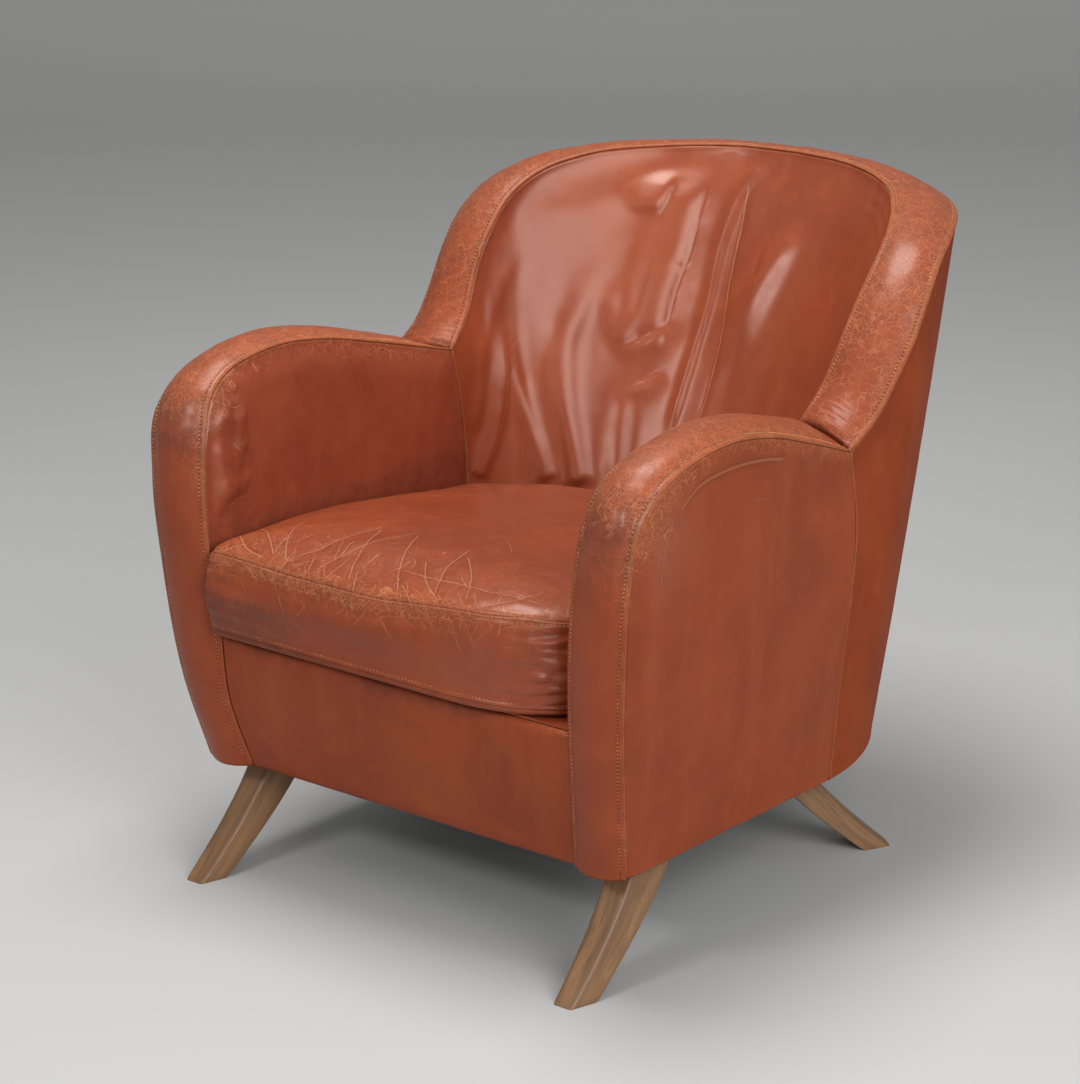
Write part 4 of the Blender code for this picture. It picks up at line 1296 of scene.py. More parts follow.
@dataclass(frozen=True)
class ThreadFinish:
    """Waxed orange-brown sewing thread."""

    name: str = "thread"
    colour: Colour = (0.560, 0.225, 0.085)

    def make(self) -> bpy.types.Material:
        """Make the material.

        Returns:
            The material.
        """
        bench = Bench(self.name)
        place = bench.place()
        soiled = bench.noise(place, 45.0, 3.0, 0.6)
        ply = bench.noise(place, 1600.0, 2.0, 0.5)
        darker = tuple(part * 0.45 for part in self.colour)
        colour = bench.blend(soiled.ramp(0.35, 0.65), darker, self.colour)
        bench.set(Base_Color=colour, Roughness=0.65)
        bench.relief(ply * 0.15)
        return bench.material


@dataclass(frozen=True)
class WoodFinish:
    """Stained oak with open grain that runs up the leg, worn darker at the edges."""

    name: str = "oak_leg"
    light: Colour = (0.280, 0.143, 0.061)
    dark: Colour = (0.165, 0.081, 0.034)

    def make(self) -> bpy.types.Material:
        """Make the material.

        Returns:
            The material.
        """
        bench = Bench(self.name)
        vector = bench.node("ShaderNodeAttribute", {"attribute_name": "grain"}, output="Vector")
        stirred = bench.moved(vector, 9.0, 0.012, (1.0, 1.0, 0.10))
        bands = bench.noise(stirred, 70.0, 3.0, 0.55, 0.4)
        streak = bench.noise(bench.moved(vector, 30.0, 0.002, (1.0, 1.0, 0.035)), 420.0, 3.0, 0.6)
        edge = bench.mark("edge")
        colour = bench.blend(bands.ramp(0.30, 0.72), self.dark, self.light)
        pores = streak.ramp(0.44, 0.30)
        colour = bench.blend(pores * 0.60, colour, tuple(part * 0.45 for part in self.dark))
        blotch = bench.noise(vector, 22.0, 3.0, 0.6)
        colour = bench.blend(edge * blotch.ramp(0.25, 0.60) * 0.55, colour, self.dark)
        bench.set(Base_Color=colour, Roughness=0.40 + pores * 0.2 + (bands - 0.5) * 0.12,
                  Coat_Weight=0.08, Coat_Roughness=0.35)
        bench.relief(bands * 0.10 - pores * 0.18, 0.8)
        return bench.material


@dataclass(frozen=True)
class PlainFinish:
    """A finish for what lies behind or under the covers, with its own grain or weave."""

    name: str
    light: Colour
    dark: Colour
    scale: float
    roughness: float
    metallic: float = 0.0
    stretch: Point = (1.0, 1.0, 1.0)
    height: float = 0.2

    def make(self) -> bpy.types.Material:
        """Make the material.

        Returns:
            The material.
        """
        bench = Bench(self.name)
        place = bench.moved(bench.place(), 30.0, 0.003, self.stretch)
        grain = bench.noise(place, self.scale, 4.0, 0.6, 0.3)
        fleck = bench.noise(place, self.scale * 6.0, 2.0, 0.5)
        colour = bench.blend(grain.ramp(0.30, 0.70), self.dark, self.light)
        colour = bench.blend(fleck.ramp(0.55, 0.75) * 0.35, colour, self.dark)
        bench.set(Base_Color=colour, Roughness=self.roughness + (grain - 0.5) * 0.15, Metallic=self.metallic)
        bench.relief(grain * self.height + fleck * self.height * 0.5)
        return bench.material


@dataclass(frozen=True)
class WovenFinish:
    """A woven cloth or strap whose threads cross at right angles."""

    name: str
    light: Colour
    dark: Colour
    threads: float
    roughness: float = 0.9

    def make(self) -> bpy.types.Material:
        """Make the material.

        Returns:
            The material.
        """
        bench = Bench(self.name)
        place = bench.place()
        waves = [bench.node("ShaderNodeTexWave", {"wave_type": "BANDS", "bands_direction": axis},
                            {"Vector": place, "Scale": self.threads, "Distortion": 0.6}, "Fac")
                 for axis in ("X", "Y")]
        weave = waves[0].most(waves[1])
        cloud = bench.noise(place, 20.0, 3.0, 0.6)
        colour = bench.blend(weave * (0.5 + cloud * 0.5), self.dark, self.light)
        bench.set(Base_Color=colour, Roughness=self.roughness)
        bench.relief(weave * 0.25)
        return bench.material


# ------------------------------------------------------------------------------ rim bands
def seam_nearness(distance: Array, reach: float = 0.004) -> Array:
    """How near points lie to a seam, from 1 on it to 0 far away."""
    return np.exp(-distance / reach)


def tucked(distance: Array, depth: float = 0.0008) -> Array:
    """How far a cover's edge turns in beside a seam, with the slight roll behind it.

    Args:
        distance: Distances from the edge.
        depth: Depth of the turn at the edge itself.

    Returns:
        Heights, negative where the cover turns in.
    """
    return -depth * bell(distance, 0.0011) + 0.0005 * bell(distance - 0.0032, 0.0022)


@dataclass
class Thread:
    """Rows of single stitches that stand on the leather."""

    length: float = 0.0034
    pitch: float = 0.0048
    radius: float = 0.00060
    slant: float = 0.50
    points: list[Array] = field(default_factory=list)
    faces: list[Array] = field(default_factory=list)
    count: int = 0

    def sew(self, line: Array, normals: Array, lean: float = 1.0) -> None:
        """Sew a row along a line.

        Args:
            line: Points of the row, on the leather.
            normals: The leather's outward directions there.
            lean: Which way the stitches slant.
        """
        length = along_lengths(line)
        middles = np.arange(self.pitch, length[-1] - self.pitch * 0.5, self.pitch)
        sides = 4
        for middle in middles:
            ends = middle + self.length * np.array([-0.5, -0.3, 0.0, 0.3, 0.5])
            place = np.stack([np.interp(ends, length, line[:, k]) for k in range(3)], axis=1)
            normal = np.array([np.interp(middle, length, normals[:, k]) for k in range(3)])
            along = unit(place[-1] - place[0])
            across = unit(np.cross(normal, along))
            share = np.linspace(-1.0, 1.0, 5)
            rise = self.radius * np.array([-0.6, 0.35, 0.75, 0.35, -0.6])
            place = place + across * (share * lean * self.slant * self.length / 2)[:, None] + normal * rise[:, None]
            radii = self.radius * np.array([0.55, 0.95, 1.0, 0.95, 0.55])
            angles = np.arange(sides) * 2 * math.pi / sides
            ring = across * np.cos(angles)[:, None] + normal * np.sin(angles)[:, None]
            body = (place[:, None] + ring[None] * radii[:, None, None]).reshape(-1, 3)
            faces = grid_faces(5, sides, True) + self.count
            self.points.append(body)
            self.faces.extend(faces.tolist())
            self.faces.append(list(range(self.count + sides - 1, self.count - 1, -1)))
            self.faces.append(list(range(self.count + 4 * sides, self.count + 5 * sides)))
            self.count += len(body)

    def finish(self, shop: Workshop, name: str, material: bpy.types.Material) -> bpy.types.Object:
        """Make one piece of all stitches.

        Args:
            shop: The workshop.
            name: The piece's name.
            material: The thread's finish.

        Returns:
            The piece.
        """
        thing = shop.mesh(name, np.concatenate(self.points), self.faces)
        dress(thing, material)
        return thing


@dataclass
class RimBand:
    """A padded band between two seams, with turned edges, topstitching and wear."""

    name: str
    inner: Array
    outer: Array
    crown: Array
    thickness: float = 0.0014
    stitch_row: float = 0.0052
    edge_columns: tuple[float, ...] = (0.0, 0.0004, 0.0009, 0.0016, 0.0025, 0.0034, 0.0042, 0.0048,
                                       0.0052, 0.0056, 0.0062, 0.0070, 0.0080, 0.0094, 0.0112, 0.0136)
    inner_columns: int = 15

    def surface(self) -> Surface:
        """Shape the band.

        Returns:
            Its surface, whose rows follow the seams.
        """
        width = np.linalg.norm(self.outer - self.inner, axis=1)[:, None]
        edge = np.array(self.edge_columns)
        left = edge[None] / width
        between = np.linspace(0.0, 1.0, self.inner_columns + 2)[1:-1]
        middle = left[:, -1:] + (1 - 2 * left[:, -1:]) * between[None]
        share = np.concatenate([left, middle, 1 - left[:, ::-1]], axis=1)
        distance = np.minimum(share, 1 - share) * width
        side = np.where(share > 0.5, 1.0, -1.0)
        normals = rim_normals(self.inner, self.outer, 6)
        across = unit(self.outer - self.inner)
        rise = self.crown[:, None] * (1 - np.abs(2 * share - 1) ** 2.2)
        strip = 0.0011 * ramp(distance, 0.0002, 0.0018) * ramp(distance, 0.0075, 0.0048)
        rise = rise + strip - 0.0012 * bell(distance, 0.0008) - 0.0008 * bell(distance - self.stitch_row, 0.0009)
        reach = 0.0010 * bell(distance - 0.0012, 0.0014) * side
        base = self.inner[:, None] + (self.outer - self.inner)[:, None] * share[..., None]
        grid = base + rise[..., None] * normals[:, None] + reach[..., None] * across[:, None]
        surface = Surface(grid)
        surface.marks["seam"] = seam_nearness(distance)
        surface.marks["row"] = seam_nearness(np.abs(distance - self.stitch_row), 0.0015)
        self.distance, self.side, self.share = distance, side, share
        return surface

    def stitch(self, thread: Thread, surface: Surface) -> None:
        """Sew the topstitching beside both seams.

        Args:
            thread: The thread.
            surface: The band's final surface.
        """
        normals = grid_normals(surface.grid)
        column = self.edge_columns.index(self.stitch_row)
        along = np.zeros(surface.grid.shape[:2])
        for number, lean in ((column, 1.0), (surface.grid.shape[1] - 1 - column, -1.0)):
            run = along_lengths(surface.grid[:, number])
            along[self.side == -lean] = np.broadcast_to((run - run[4])[:, None], along.shape)[self.side == -lean]
            thread.sew(surface.grid[4:-3, number], normals[4:-3, number], lean)
        surface.marks["along"] = along


@dataclass
class ArmRims:
    """The bands over the fronts and tops of both arms."""

    plan: SeamPlan
    step: float = 0.0031
    crown: float = 0.0130
    crown_at_fold: float = 0.0045

    def fold_crown(self, to_fold: Array, roll: float = 0.010) -> Array:
        """The band's rise, pressed down towards the fold between arm and back.

        Args:
            to_fold: Distances along the band from the fold.
            roll: Length over which the band turns into the fold.

        Returns:
            Rises in metres.
        """
        full = self.crown_at_fold + (self.crown - self.crown_at_fold) * ramp(to_fold, 0.006, 0.070)
        turn = 1 - (1 - np.clip(to_fold / roll, 0.0, 1.0)) ** 1.6
        return full * turn - 0.0045 * bell(to_fold, 0.0030)

    def build(self, shop: Workshop, thread: Thread, lumps: Lumps, leather: bpy.types.Material) -> None:
        """Make both bands.

        Args:
            shop: The workshop.
            thread: The thread.
            lumps: Noise for the unevenness of the leather.
            leather: Its finish.
        """
        length = along_lengths(self.plan.arm_outer.at(np.linspace(0.0, 1.0, 200)))[-1]
        shares = spread(length, self.step, False, True)
        for side in Side:
            inner, outer = self.plan.arm_inner.at(shares), self.plan.arm_outer.at(shares)
            to_fold = (1 - shares) * length
            if side is Side.LEFT:
                inner, outer = outer * MIRROR, inner * MIRROR
            band = RimBand(f"arm_band_{side.label}", inner, outer, self.fold_crown(to_fold))
            surface = band.surface()
            outwards = band.share if side is Side.RIGHT else 1 - band.share
            self.wear(surface, side, to_fold, lumps, band.distance, outwards)
            band.stitch(thread, surface)
            thing = shop.shell(band.name + "_cover", surface, band.thickness)
            dress(thing, leather)
            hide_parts(band.name)

    def wear(self, surface: Surface, side: Side, to_fold: Array, lumps: Lumps, edge: Array, outwards: Array) -> None:
        """Wrinkle the band and mark where hands have worn it.

        Args:
            surface: The band's surface.
            side: Which arm; not used.
            to_fold: Distances of its rows from the fold.
            lumps: Noise.
            edge: Distances from the nearest seam.
            outwards: Shares of the band's width from the inner seam.
        """
        grid = surface.grid
        z, y = grid[..., 2], grid[..., 1]
        shoulder = bell(z - 0.565, 0.060) * ramp(y, -0.30, -0.36)
        top = ramp(z, 0.555, 0.600)
        free = ramp(edge, 0.0, 0.006)
        surface.lift(0.0005 * lumps.at(grid, 0.022) * free + 0.0004 * lumps.at(grid, 0.009) * free * (shoulder + top * 0.5))
        # Short wrinkles across the shoulder, where the leather bends most.
        wrinkle = np.sin(surface.v * 2 * math.pi / 0.011 + 2.5 * lumps.at(grid, 0.020))
        surface.lift(0.00035 * wrinkle * shoulder * free * ramp(lumps.at(grid, 0.03), -0.2, 0.5))
        upright = np.sin(outwards * 2 * math.pi * 5.5 + 3.0 * lumps.at(grid, (0.03, 0.03, 0.05)))
        surface.lift(0.00080 * upright * bell(z - 0.535, 0.055) * ramp(y, -0.36, -0.40) * free * ramp(outwards, 0.45, 0.85))
        fold = np.broadcast_to(to_fold[:, None], z.shape)
        puckers = sum(height * bell(fold - place, 0.0032) for place, height in ((0.015, 0.0006), (0.024, 0.0004)))
        surface.lift(puckers * free)
        near_seam = bell(edge, 0.014)
        front = ramp(y, -0.34, -0.40)
        surface.mark("wear", np.clip(0.80 * top * (1 - 0.4 * front) + 0.55 * shoulder + 0.30 * near_seam * ramp(z, 0.40, 0.50)
                                     + 0.30 * front * bell(z - 0.49, 0.04), 0, 1))
        # Patina on the shoulder's front, down the front and along the seams; painted shade towards the crease at the
        # fold.
        surface.mark("patina", np.clip(0.46 * bell(z - 0.560, 0.052) * front + 0.35 * bell(fold, 0.02)
                                       + 0.25 * front * ramp(z, 0.30, 0.50) + 0.30 * bell(edge, 0.004), 0, 1))
        surface.mark("gloss", np.clip(shoulder * 1.2 + 0.25 * top, 0, 1))


@dataclass
class BackRim:
    """The band over the back, in one sweep from arm to arm."""

    plan: SeamPlan
    step: float = 0.0034
    crown_side: float = 0.0130
    crown_top: float = 0.0100
    crown_at_fold: float = 0.0130

    def build(self, shop: Workshop, thread: Thread, lumps: Lumps, leather: bpy.types.Material) -> None:
        """Make the band.

        Args:
            shop: The workshop.
            thread: The thread.
            lumps: Noise for the unevenness of the leather.
            leather: Its finish.
        """
        length = along_lengths(self.plan.back_outer.at(np.linspace(0.0, 1.0, 200)))[-1]
        half = spread(length, self.step, True, False)
        inner, outer = (np.concatenate([points, points[::-1][1:] * MIRROR])
                        for points in (self.plan.back_inner.at(half), self.plan.back_outer.at(half)))
        share = np.concatenate([half, half[::-1][1:]])
        to_fold = share * length
        rise = self.crown_top + (self.crown_side - self.crown_top) * np.clip(1.4 - 2 * share, 0.0, 1.0)
        rise = self.crown_at_fold + (rise - self.crown_at_fold) * ramp(to_fold, 0.006, 0.060)
        rise = rise * (1 - (1 - np.clip(to_fold / 0.009, 0.0, 1.0)) ** 1.9) - 0.0045 * bell(to_fold, 0.0025)
        band = RimBand("back_band", inner, outer, rise, edge_columns=RimBand.edge_columns, inner_columns=17)
        surface = band.surface()
        self.wear(surface, to_fold, lumps, band.distance, band.share)
        band.stitch(thread, surface)
        thing = shop.shell("back_band_cover", surface, band.thickness)
        dress(thing, leather)
        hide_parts("back_band")

    def wear(self, surface: Surface, to_fold: Array, lumps: Lumps, edge: Array, outwards: Array) -> None:
        """Pleat the band above the folds and mark its wear.

        Args:
            surface: The band's surface.
            to_fold: Distances of its rows from the nearer fold.
            lumps: Noise.
            edge: Distances from the nearest seam.
            outwards: Shares of the band's width from the inner seam.
        """
        grid = surface.grid
        fold = np.broadcast_to(to_fold[:, None], edge.shape) + 0.0025 * lumps.at(grid, 0.03)
        free = ramp(edge, 0.001, 0.012)
        pleat = np.abs(np.sin(math.pi * (fold - 0.002 * outwards) / 0.0088)) ** 0.7
        depth = 0.0056 * ramp(fold, 0.004, 0.010) * ramp(fold, 0.064, 0.022) * (0.40 + 0.60 * ramp(outwards, 0.15, 0.60))
        surface.lift((pleat - 0.75) * depth * free)
        surface.lift(0.0006 * lumps.at(grid, 0.024) * free + 0.00025 * lumps.at(grid, 0.009) * free)
        z = grid[..., 2]
        surface.mark("wear", np.clip(0.66 + 0.20 * ramp(z, 0.60, 0.74) + 0.2 * bell(edge, 0.012), 0, 1))
        # Darker in the fold's crease and down the pleats' valleys, painted shade in these hollows; patina along the
        # seams.
        valley = bell(pleat, 0.30) * ramp(fold, 0.060, 0.030)
        surface.mark("patina", np.clip(0.8 * bell(fold, 0.008) + 0.75 * valley + 0.30 * bell(edge, 0.004), 0, 1))
        surface.mark("gloss", np.clip(bell(z - 0.735, 0.05) + 0.5 * bell(fold - 0.03, 0.03), 0, 1))


@dataclass
class SeamFill:
    """The narrow edge of leather that shows in every seam, sunk between its two covers."""

    plan: SeamPlan
    radius: float = 0.0012
    sunk: float = -0.0001
    step: float = 0.006
    sides: int = 8

    def build(self, shop: Workshop, leather: bpy.types.Material) -> None:
        """Lay an edge into each seam.

        Args:
            shop: The workshop.
            leather: Its finish.
        """
        plan = self.plan
        middle = np.array([0.0, plan.tub_centre_y, 0.35])
        halves = [seam.at(np.linspace(0.0, 1.0, 200)) for seam in (plan.arm_inner, plan.arm_outer, plan.inside_corner, plan.side)]
        lines = halves + [line * MIRROR for line in halves]
        lines += [plan.whole_back(seam, 200) for seam in (plan.back_inner, plan.back_outer)]
        points, faces, count = [], [], 0
        for line in lines:
            number = round(along_lengths(line)[-1] / self.step)
            line = line_at(line, np.linspace(0.004, 0.996, number))
            along = unit(np.gradient(line, axis=0))
            out = unit(np.cross(along, unit(np.cross(line - middle, along))))
            across = np.cross(along, out)
            inward = self.sunk * np.where((out * (line - middle)).sum(axis=1) > 0, -1.0, 1.0)
            turn = np.arange(self.sides) * 2 * math.pi / self.sides
            ring = across[:, None] * np.cos(turn)[:, None] + out[:, None] * np.sin(turn)[:, None]
            points.append(((line + out * inward[:, None])[:, None] + self.radius * ring).reshape(-1, 3))
            faces += (grid_faces(number, self.sides, True) + count).tolist()
            faces.append([count + k for k in range(self.sides)][::-1])
            faces.append([count + (number - 1) * self.sides + k for k in range(self.sides)])
            count += number * self.sides
        points = np.concatenate(points)
        marks = {"wear": np.full(count, 0.6), "patina": np.full(count, 0.1), "gloss": np.zeros(count), "seam": np.zeros(count)}
        thing = shop.mesh("seam_edges", points, faces, marks)
        dress(thing, leather)


# ------------------------------------------------------------------------------ panels
@dataclass
class ArmPanels:
    """The leather on the inside and outside of both arms."""

    plan: PanelPlan
    thickness: float = 0.0014
    inside_step: float = 0.0045
    outside_step: float = 0.0058

    def outside(self, shop: Workshop, lumps: Lumps, leather: bpy.types.Material) -> None:
        """Make the two outside panels.

        Args:
            shop: The workshop.
            lumps: Noise.
            leather: Their finish.
        """
        arc = CreaseSet("crease_a", (
            Crease(((-0.350, 0.562), (-0.314, 0.586), (-0.261, 0.595), (-0.201, 0.592), (-0.129, 0.577)), 0.0007, 0.004, 0.9),
            Crease(((-0.372, 0.480), (-0.366, 0.530), (-0.350, 0.562)), 0.0005, 0.004, 0.5),
            Crease(((-0.210, 0.548), (-0.170, 0.540)), 0.0003, 0.003, 0.4),
        ))
        for side in Side:
            grid = self.plan.arm_outside()
            grid = grid if side is Side.RIGHT else grid[:, ::-1] * MIRROR
            surface = Surface(fine_grid(grid, self.outside_step))
            up = np.linspace(0.0, 1.0, surface.grid.shape[0])[:, None]
            middle = np.sin(math.pi * up) * np.cos(math.pi * np.clip(surface.u / surface.whole_u, -0.5, 0.5))
            surface.lift(0.0045 * np.clip(middle, 0.0, 1.0))
            y, z = surface.grid[..., 1], surface.grid[..., 2]
            edge = surface.edge_distance()
            surface.lift(tucked(edge, 0.0016))
            surface.marks["seam"] = seam_nearness(edge)
            surface.lift(0.0007 * lumps.at(surface.grid, (0.09, 0.06, 0.16)) + 0.0002 * lumps.at(surface.grid, 0.02))
            near_top = surface.whole_v - surface.v
            ripple = np.sin(surface.u * 2 * math.pi / 0.013 + 3 * lumps.at(surface.grid, 0.03))
            surface.lift(0.00035 * ripple * bell(near_top - 0.008, 0.010) * ramp(z, 0.47, 0.56))
            flat = np.stack([y, z], axis=-1)
            arc.press(surface, flat)
            shoulder = bell(y + 0.365, 0.045) * bell(z - 0.535, 0.055)
            surface.mark("wear", np.clip(0.75 * bell(near_top, 0.038) * ramp(z, 0.44, 0.56) + 0.5 * shoulder, 0, 1))
            surface.mark("patina", 0.35 * shoulder + 0.25 * bell(edge, 0.006) + 0.15 * ramp(z, 0.20, 0.14))
            surface.mark("gloss", 0.9 * shoulder)
            thing = shop.shell(f"arm_outside_{side.label}_cover", surface, self.thickness)
            dress(thing, leather)
            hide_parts(f"arm_outside_{side.label}")

    def inside(self, shop: Workshop, lumps: Lumps, leather: bpy.types.Material) -> None:
        """Make the two inside panels, wrinkled behind the front seam.

        Args:
            shop: The workshop.
            lumps: Noise.
            leather: Their finish.
        """
        folds = (
            Fold(((-0.398, 0.440), (-0.392, 0.500), (-0.388, 0.560), (-0.372, 0.600)), 0.0026, 0.010, 0.012),
            Fold(((-0.372, 0.505), (-0.360, 0.545), (-0.350, 0.585)), 0.0022, 0.006, 0.012),
            Fold(((-0.384, 0.535), (-0.362, 0.528), (-0.340, 0.535)), 0.0014, 0.004, 0.006),
            Fold(((-0.390, 0.575), (-0.362, 0.560), (-0.335, 0.566)), 0.0014, 0.004, 0.006),
            Fold(((-0.407, 0.450), (-0.378, 0.462), (-0.346, 0.468)), -0.0024, 0.0035, 0.008),
            Fold(((-0.400, 0.470), (-0.370, 0.484), (-0.338, 0.486)), 0.0016, 0.007, 0.006),
            Fold(((-0.330, 0.470), (-0.300, 0.520), (-0.290, 0.580)), 0.0012, 0.014, 0.018),
        )
        marks = CreaseSet("crease_a", (
            Crease(((-0.407, 0.453), (-0.378, 0.463), (-0.346, 0.468)), 0.0008, 0.003, 0.5),
            Crease(((-0.380, 0.540), (-0.365, 0.520), (-0.362, 0.500)), 0.0004, 0.003, 0.5),
            Crease(((-0.386, 0.585), (-0.360, 0.574), (-0.345, 0.578)), 0.0004, 0.003, 0.5),
        ))
        for side in Side:
            grid = self.plan.arm_inside()
            grid = grid if side is Side.RIGHT else grid[:, ::-1] * MIRROR
            surface = Surface(fine_grid(grid, self.inside_step))
            y, z = surface.grid[..., 1], surface.grid[..., 2]
            flat = np.stack([y, z], axis=-1)
            edge = surface.edge_distance()
            pad = ramp(edge, 0.0, 0.050)
            roll = (1 - np.exp(-edge / 0.011)) * bell(y + 0.375, 0.040) * ramp(z, 0.455, 0.490)
            surface.lift(0.0050 * pad + 0.0052 * roll)
            strength = 1.35 if side is Side.LEFT else 1.0
            surface.lift(strength * sum(fold.rise(flat) for fold in folds) * ramp(edge, 0.0, 0.006))
            surface.lift(tucked(edge))
            surface.marks["seam"] = seam_nearness(edge)
            surface.lift(0.0009 * lumps.at(surface.grid, 0.060) * pad + 0.0003 * lumps.at(surface.grid, 0.018))
            marks.press(surface, flat)
            near_top = surface.whole_v - surface.v
            front = bell(y + 0.378, 0.032) * ramp(z, 0.42, 0.46)
            surface.lift((0.0016 * lumps.at(surface.grid, (0.03, 0.016, 0.010)) + 0.0008 * lumps.at(surface.grid, 0.007))
                         * front * ramp(edge, 0.0, 0.006))
            surface.mark("wear", np.clip(0.70 * bell(near_top, 0.045) * ramp(z, 0.50, 0.58) + 0.15 * front, 0, 1))
            surface.mark("patina", np.clip(0.30 + 0.25 * front + 0.30 * ramp(z, 0.47, 0.42) + 0.2 * bell(edge, 0.005), 0, 1))
            surface.mark("gloss", np.clip(1.6 * front + 0.25, 0, 1))
            thing = shop.shell(f"arm_inside_{side.label}_cover", surface, self.thickness)
            dress(thing, leather)
            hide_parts(f"arm_inside_{side.label}")


@dataclass
class BackPanels:
    """The loose, folded inside of the back and its smooth outside."""

    plan: PanelPlan
    thickness: float = 0.0014
    step: float = 0.0038
    outside_step: float = 0.0068
    unroll_radius: float = 0.33
    unroll_centre: float = -0.15

    def folds(self) -> "tuple[Fold | Tuck, ...]":
        """The folds that hang down the inside back, at lengths round the tub and heights.

        Returns:
            The folds.
        """
        return (
            # The pocket near the top: a broad polished face that ends in one short sharp ridge.
            Fold(((-0.146, 0.750), (-0.134, 0.736), (-0.120, 0.714)), 0.0014, 0.010, 0.012),
            Tuck(((-0.094, 0.764), (-0.100, 0.735), (-0.110, 0.702)), 0.0056, 0.0120, 0.0012, -1, 0.35, 0.3),
            Fold(((-0.108, 0.700), (-0.111, 0.660), (-0.119, 0.600), (-0.132, 0.540)), 0.0026, 0.012, 0.010),
            # The broad polished flank with a sharp right-hand edge, and its hook to the left.
            Tuck(((-0.064, 0.772), (-0.072, 0.722), (-0.076, 0.660), (-0.082, 0.621), (-0.084, 0.545)), 0.0082, 0.0230, 0.0016),
            Tuck(((-0.078, 0.594), (-0.098, 0.571), (-0.140, 0.552)), 0.0050, 0.0140, 0.0006, 1, 0.45, 0.4),
            Tuck(((-0.080, 0.532), (-0.099, 0.517), (-0.124, 0.508)), 0.0034, 0.0110, 0.0005, 1, 0.45, 0.4),
            Fold(((-0.092, 0.651), (-0.074, 0.649)), -0.0010, 0.0035, 0.0035),
            # The two long lines right of it, with a dark valley between them.
            Fold(((-0.018, 0.790), (-0.035, 0.754), (-0.043, 0.714), (-0.047, 0.665), (-0.046, 0.610), (-0.050, 0.555),
                  (-0.060, 0.440)), 0.0044, 0.0075, 0.0040, 0.12, 0.15, 1.8),
            Tuck(((-0.034, 0.772), (-0.0315, 0.715), (-0.029, 0.640), (-0.023, 0.580), (-0.023, 0.520), (-0.028, 0.440)),
                 0.0014, 0.0070, 0.0012, 1, 0.15, 0.15),
            Fold(((0.040, 0.744), (0.026, 0.706), (0.010, 0.655), (-0.001, 0.590), (-0.006, 0.520)), 0.0120, 0.020, 0.019, 0.35, 0.45),
            # Folds that rise from the left rear corner of the cushion.
            Fold(((-0.290, 0.590), (-0.294, 0.510), (-0.304, 0.440)), 0.0026, 0.009, 0.007),
            Fold(((-0.268, 0.600), (-0.266, 0.510), (-0.272, 0.462), (-0.296, 0.395)), 0.0050, 0.015, 0.009, 0.45, 0.05),
            Fold(((-0.262, 0.600), (-0.245, 0.507), (-0.230, 0.462), (-0.206, 0.390)), 0.0046, 0.013, 0.011, 0.45, 0.05),
            Fold(((-0.208, 0.580), (-0.198, 0.505), (-0.180, 0.440), (-0.168, 0.385)), 0.0020, 0.010, 0.012, 0.4, 0.05),
            Fold(((-0.158, 0.680), (-0.171, 0.620), (-0.188, 0.560), (-0.184, 0.492), (-0.160, 0.385)), 0.0052, 0.018, 0.013,
                 0.35, 0.05),
            Fold(((-0.146, 0.640), (-0.140, 0.585), (-0.116, 0.540)), 0.0022, 0.012, 0.012),
            Fold(((-0.118, 0.540), (-0.120, 0.460), (-0.116, 0.385)), 0.0042, 0.016, 0.013, 0.45, 0.05),
            Fold(((-0.230, 0.680), (-0.222, 0.600), (-0.215, 0.520)), 0.0014, 0.018, 0.018),
            # Softer ones low on the far side of the middle.
            Fold(((0.066, 0.560), (0.068, 0.470), (0.074, 0.385)), 0.0034, 0.014, 0.010, 0.45, 0.05),
            Fold(((0.125, 0.545), (0.120, 0.470), (0.130, 0.385)), 0.0030, 0.016, 0.016, 0.4, 0.05),
            Fold(((0.200, 0.560), (0.200, 0.470), (0.218, 0.385)), 0.0034, 0.010, 0.014, 0.45, 0.05),
            Fold(((0.262, 0.550), (0.258, 0.470), (0.280, 0.390)), 0.0028, 0.012, 0.012, 0.35, 0.05),
            # Pulls under the top seam.
            Fold(((-0.056, 0.792), (-0.053, 0.760)), 0.0009, 0.006, 0.006, 0.1, 0.6),
            Fold(((-0.008, 0.792), (-0.006, 0.756)), 0.0010, 0.007, 0.006, 0.1, 0.6),
            Fold(((0.014, 0.792), (0.018, 0.758)), 0.0009, 0.006, 0.007, 0.1, 0.6),
            Fold(((0.040, 0.790), (0.046, 0.762)), 0.0007, 0.007, 0.007, 0.1, 0.6),
        )

    def creases(self) -> CreaseSet:
        """The sharp worn edges of some folds."""
        return CreaseSet("crease_a", (
            Crease(((-0.072, 0.720), (-0.076, 0.660), (-0.082, 0.621), (-0.084, 0.570)), 0.0, 0.002, 0.55),
            Crease(((-0.034, 0.772), (-0.0315, 0.715), (-0.029, 0.640), (-0.023, 0.580), (-0.023, 0.520), (-0.028, 0.440)), 0.0,
                   0.002, 0.85),
            Crease(((-0.262, 0.560), (-0.2600, 0.510), (-0.2665, 0.462), (-0.291, 0.395)), 0.0, 0.002, 0.45),
            Crease(((-0.100, 0.740), (-0.109, 0.706)), 0.0, 0.002, 0.5),
        ))

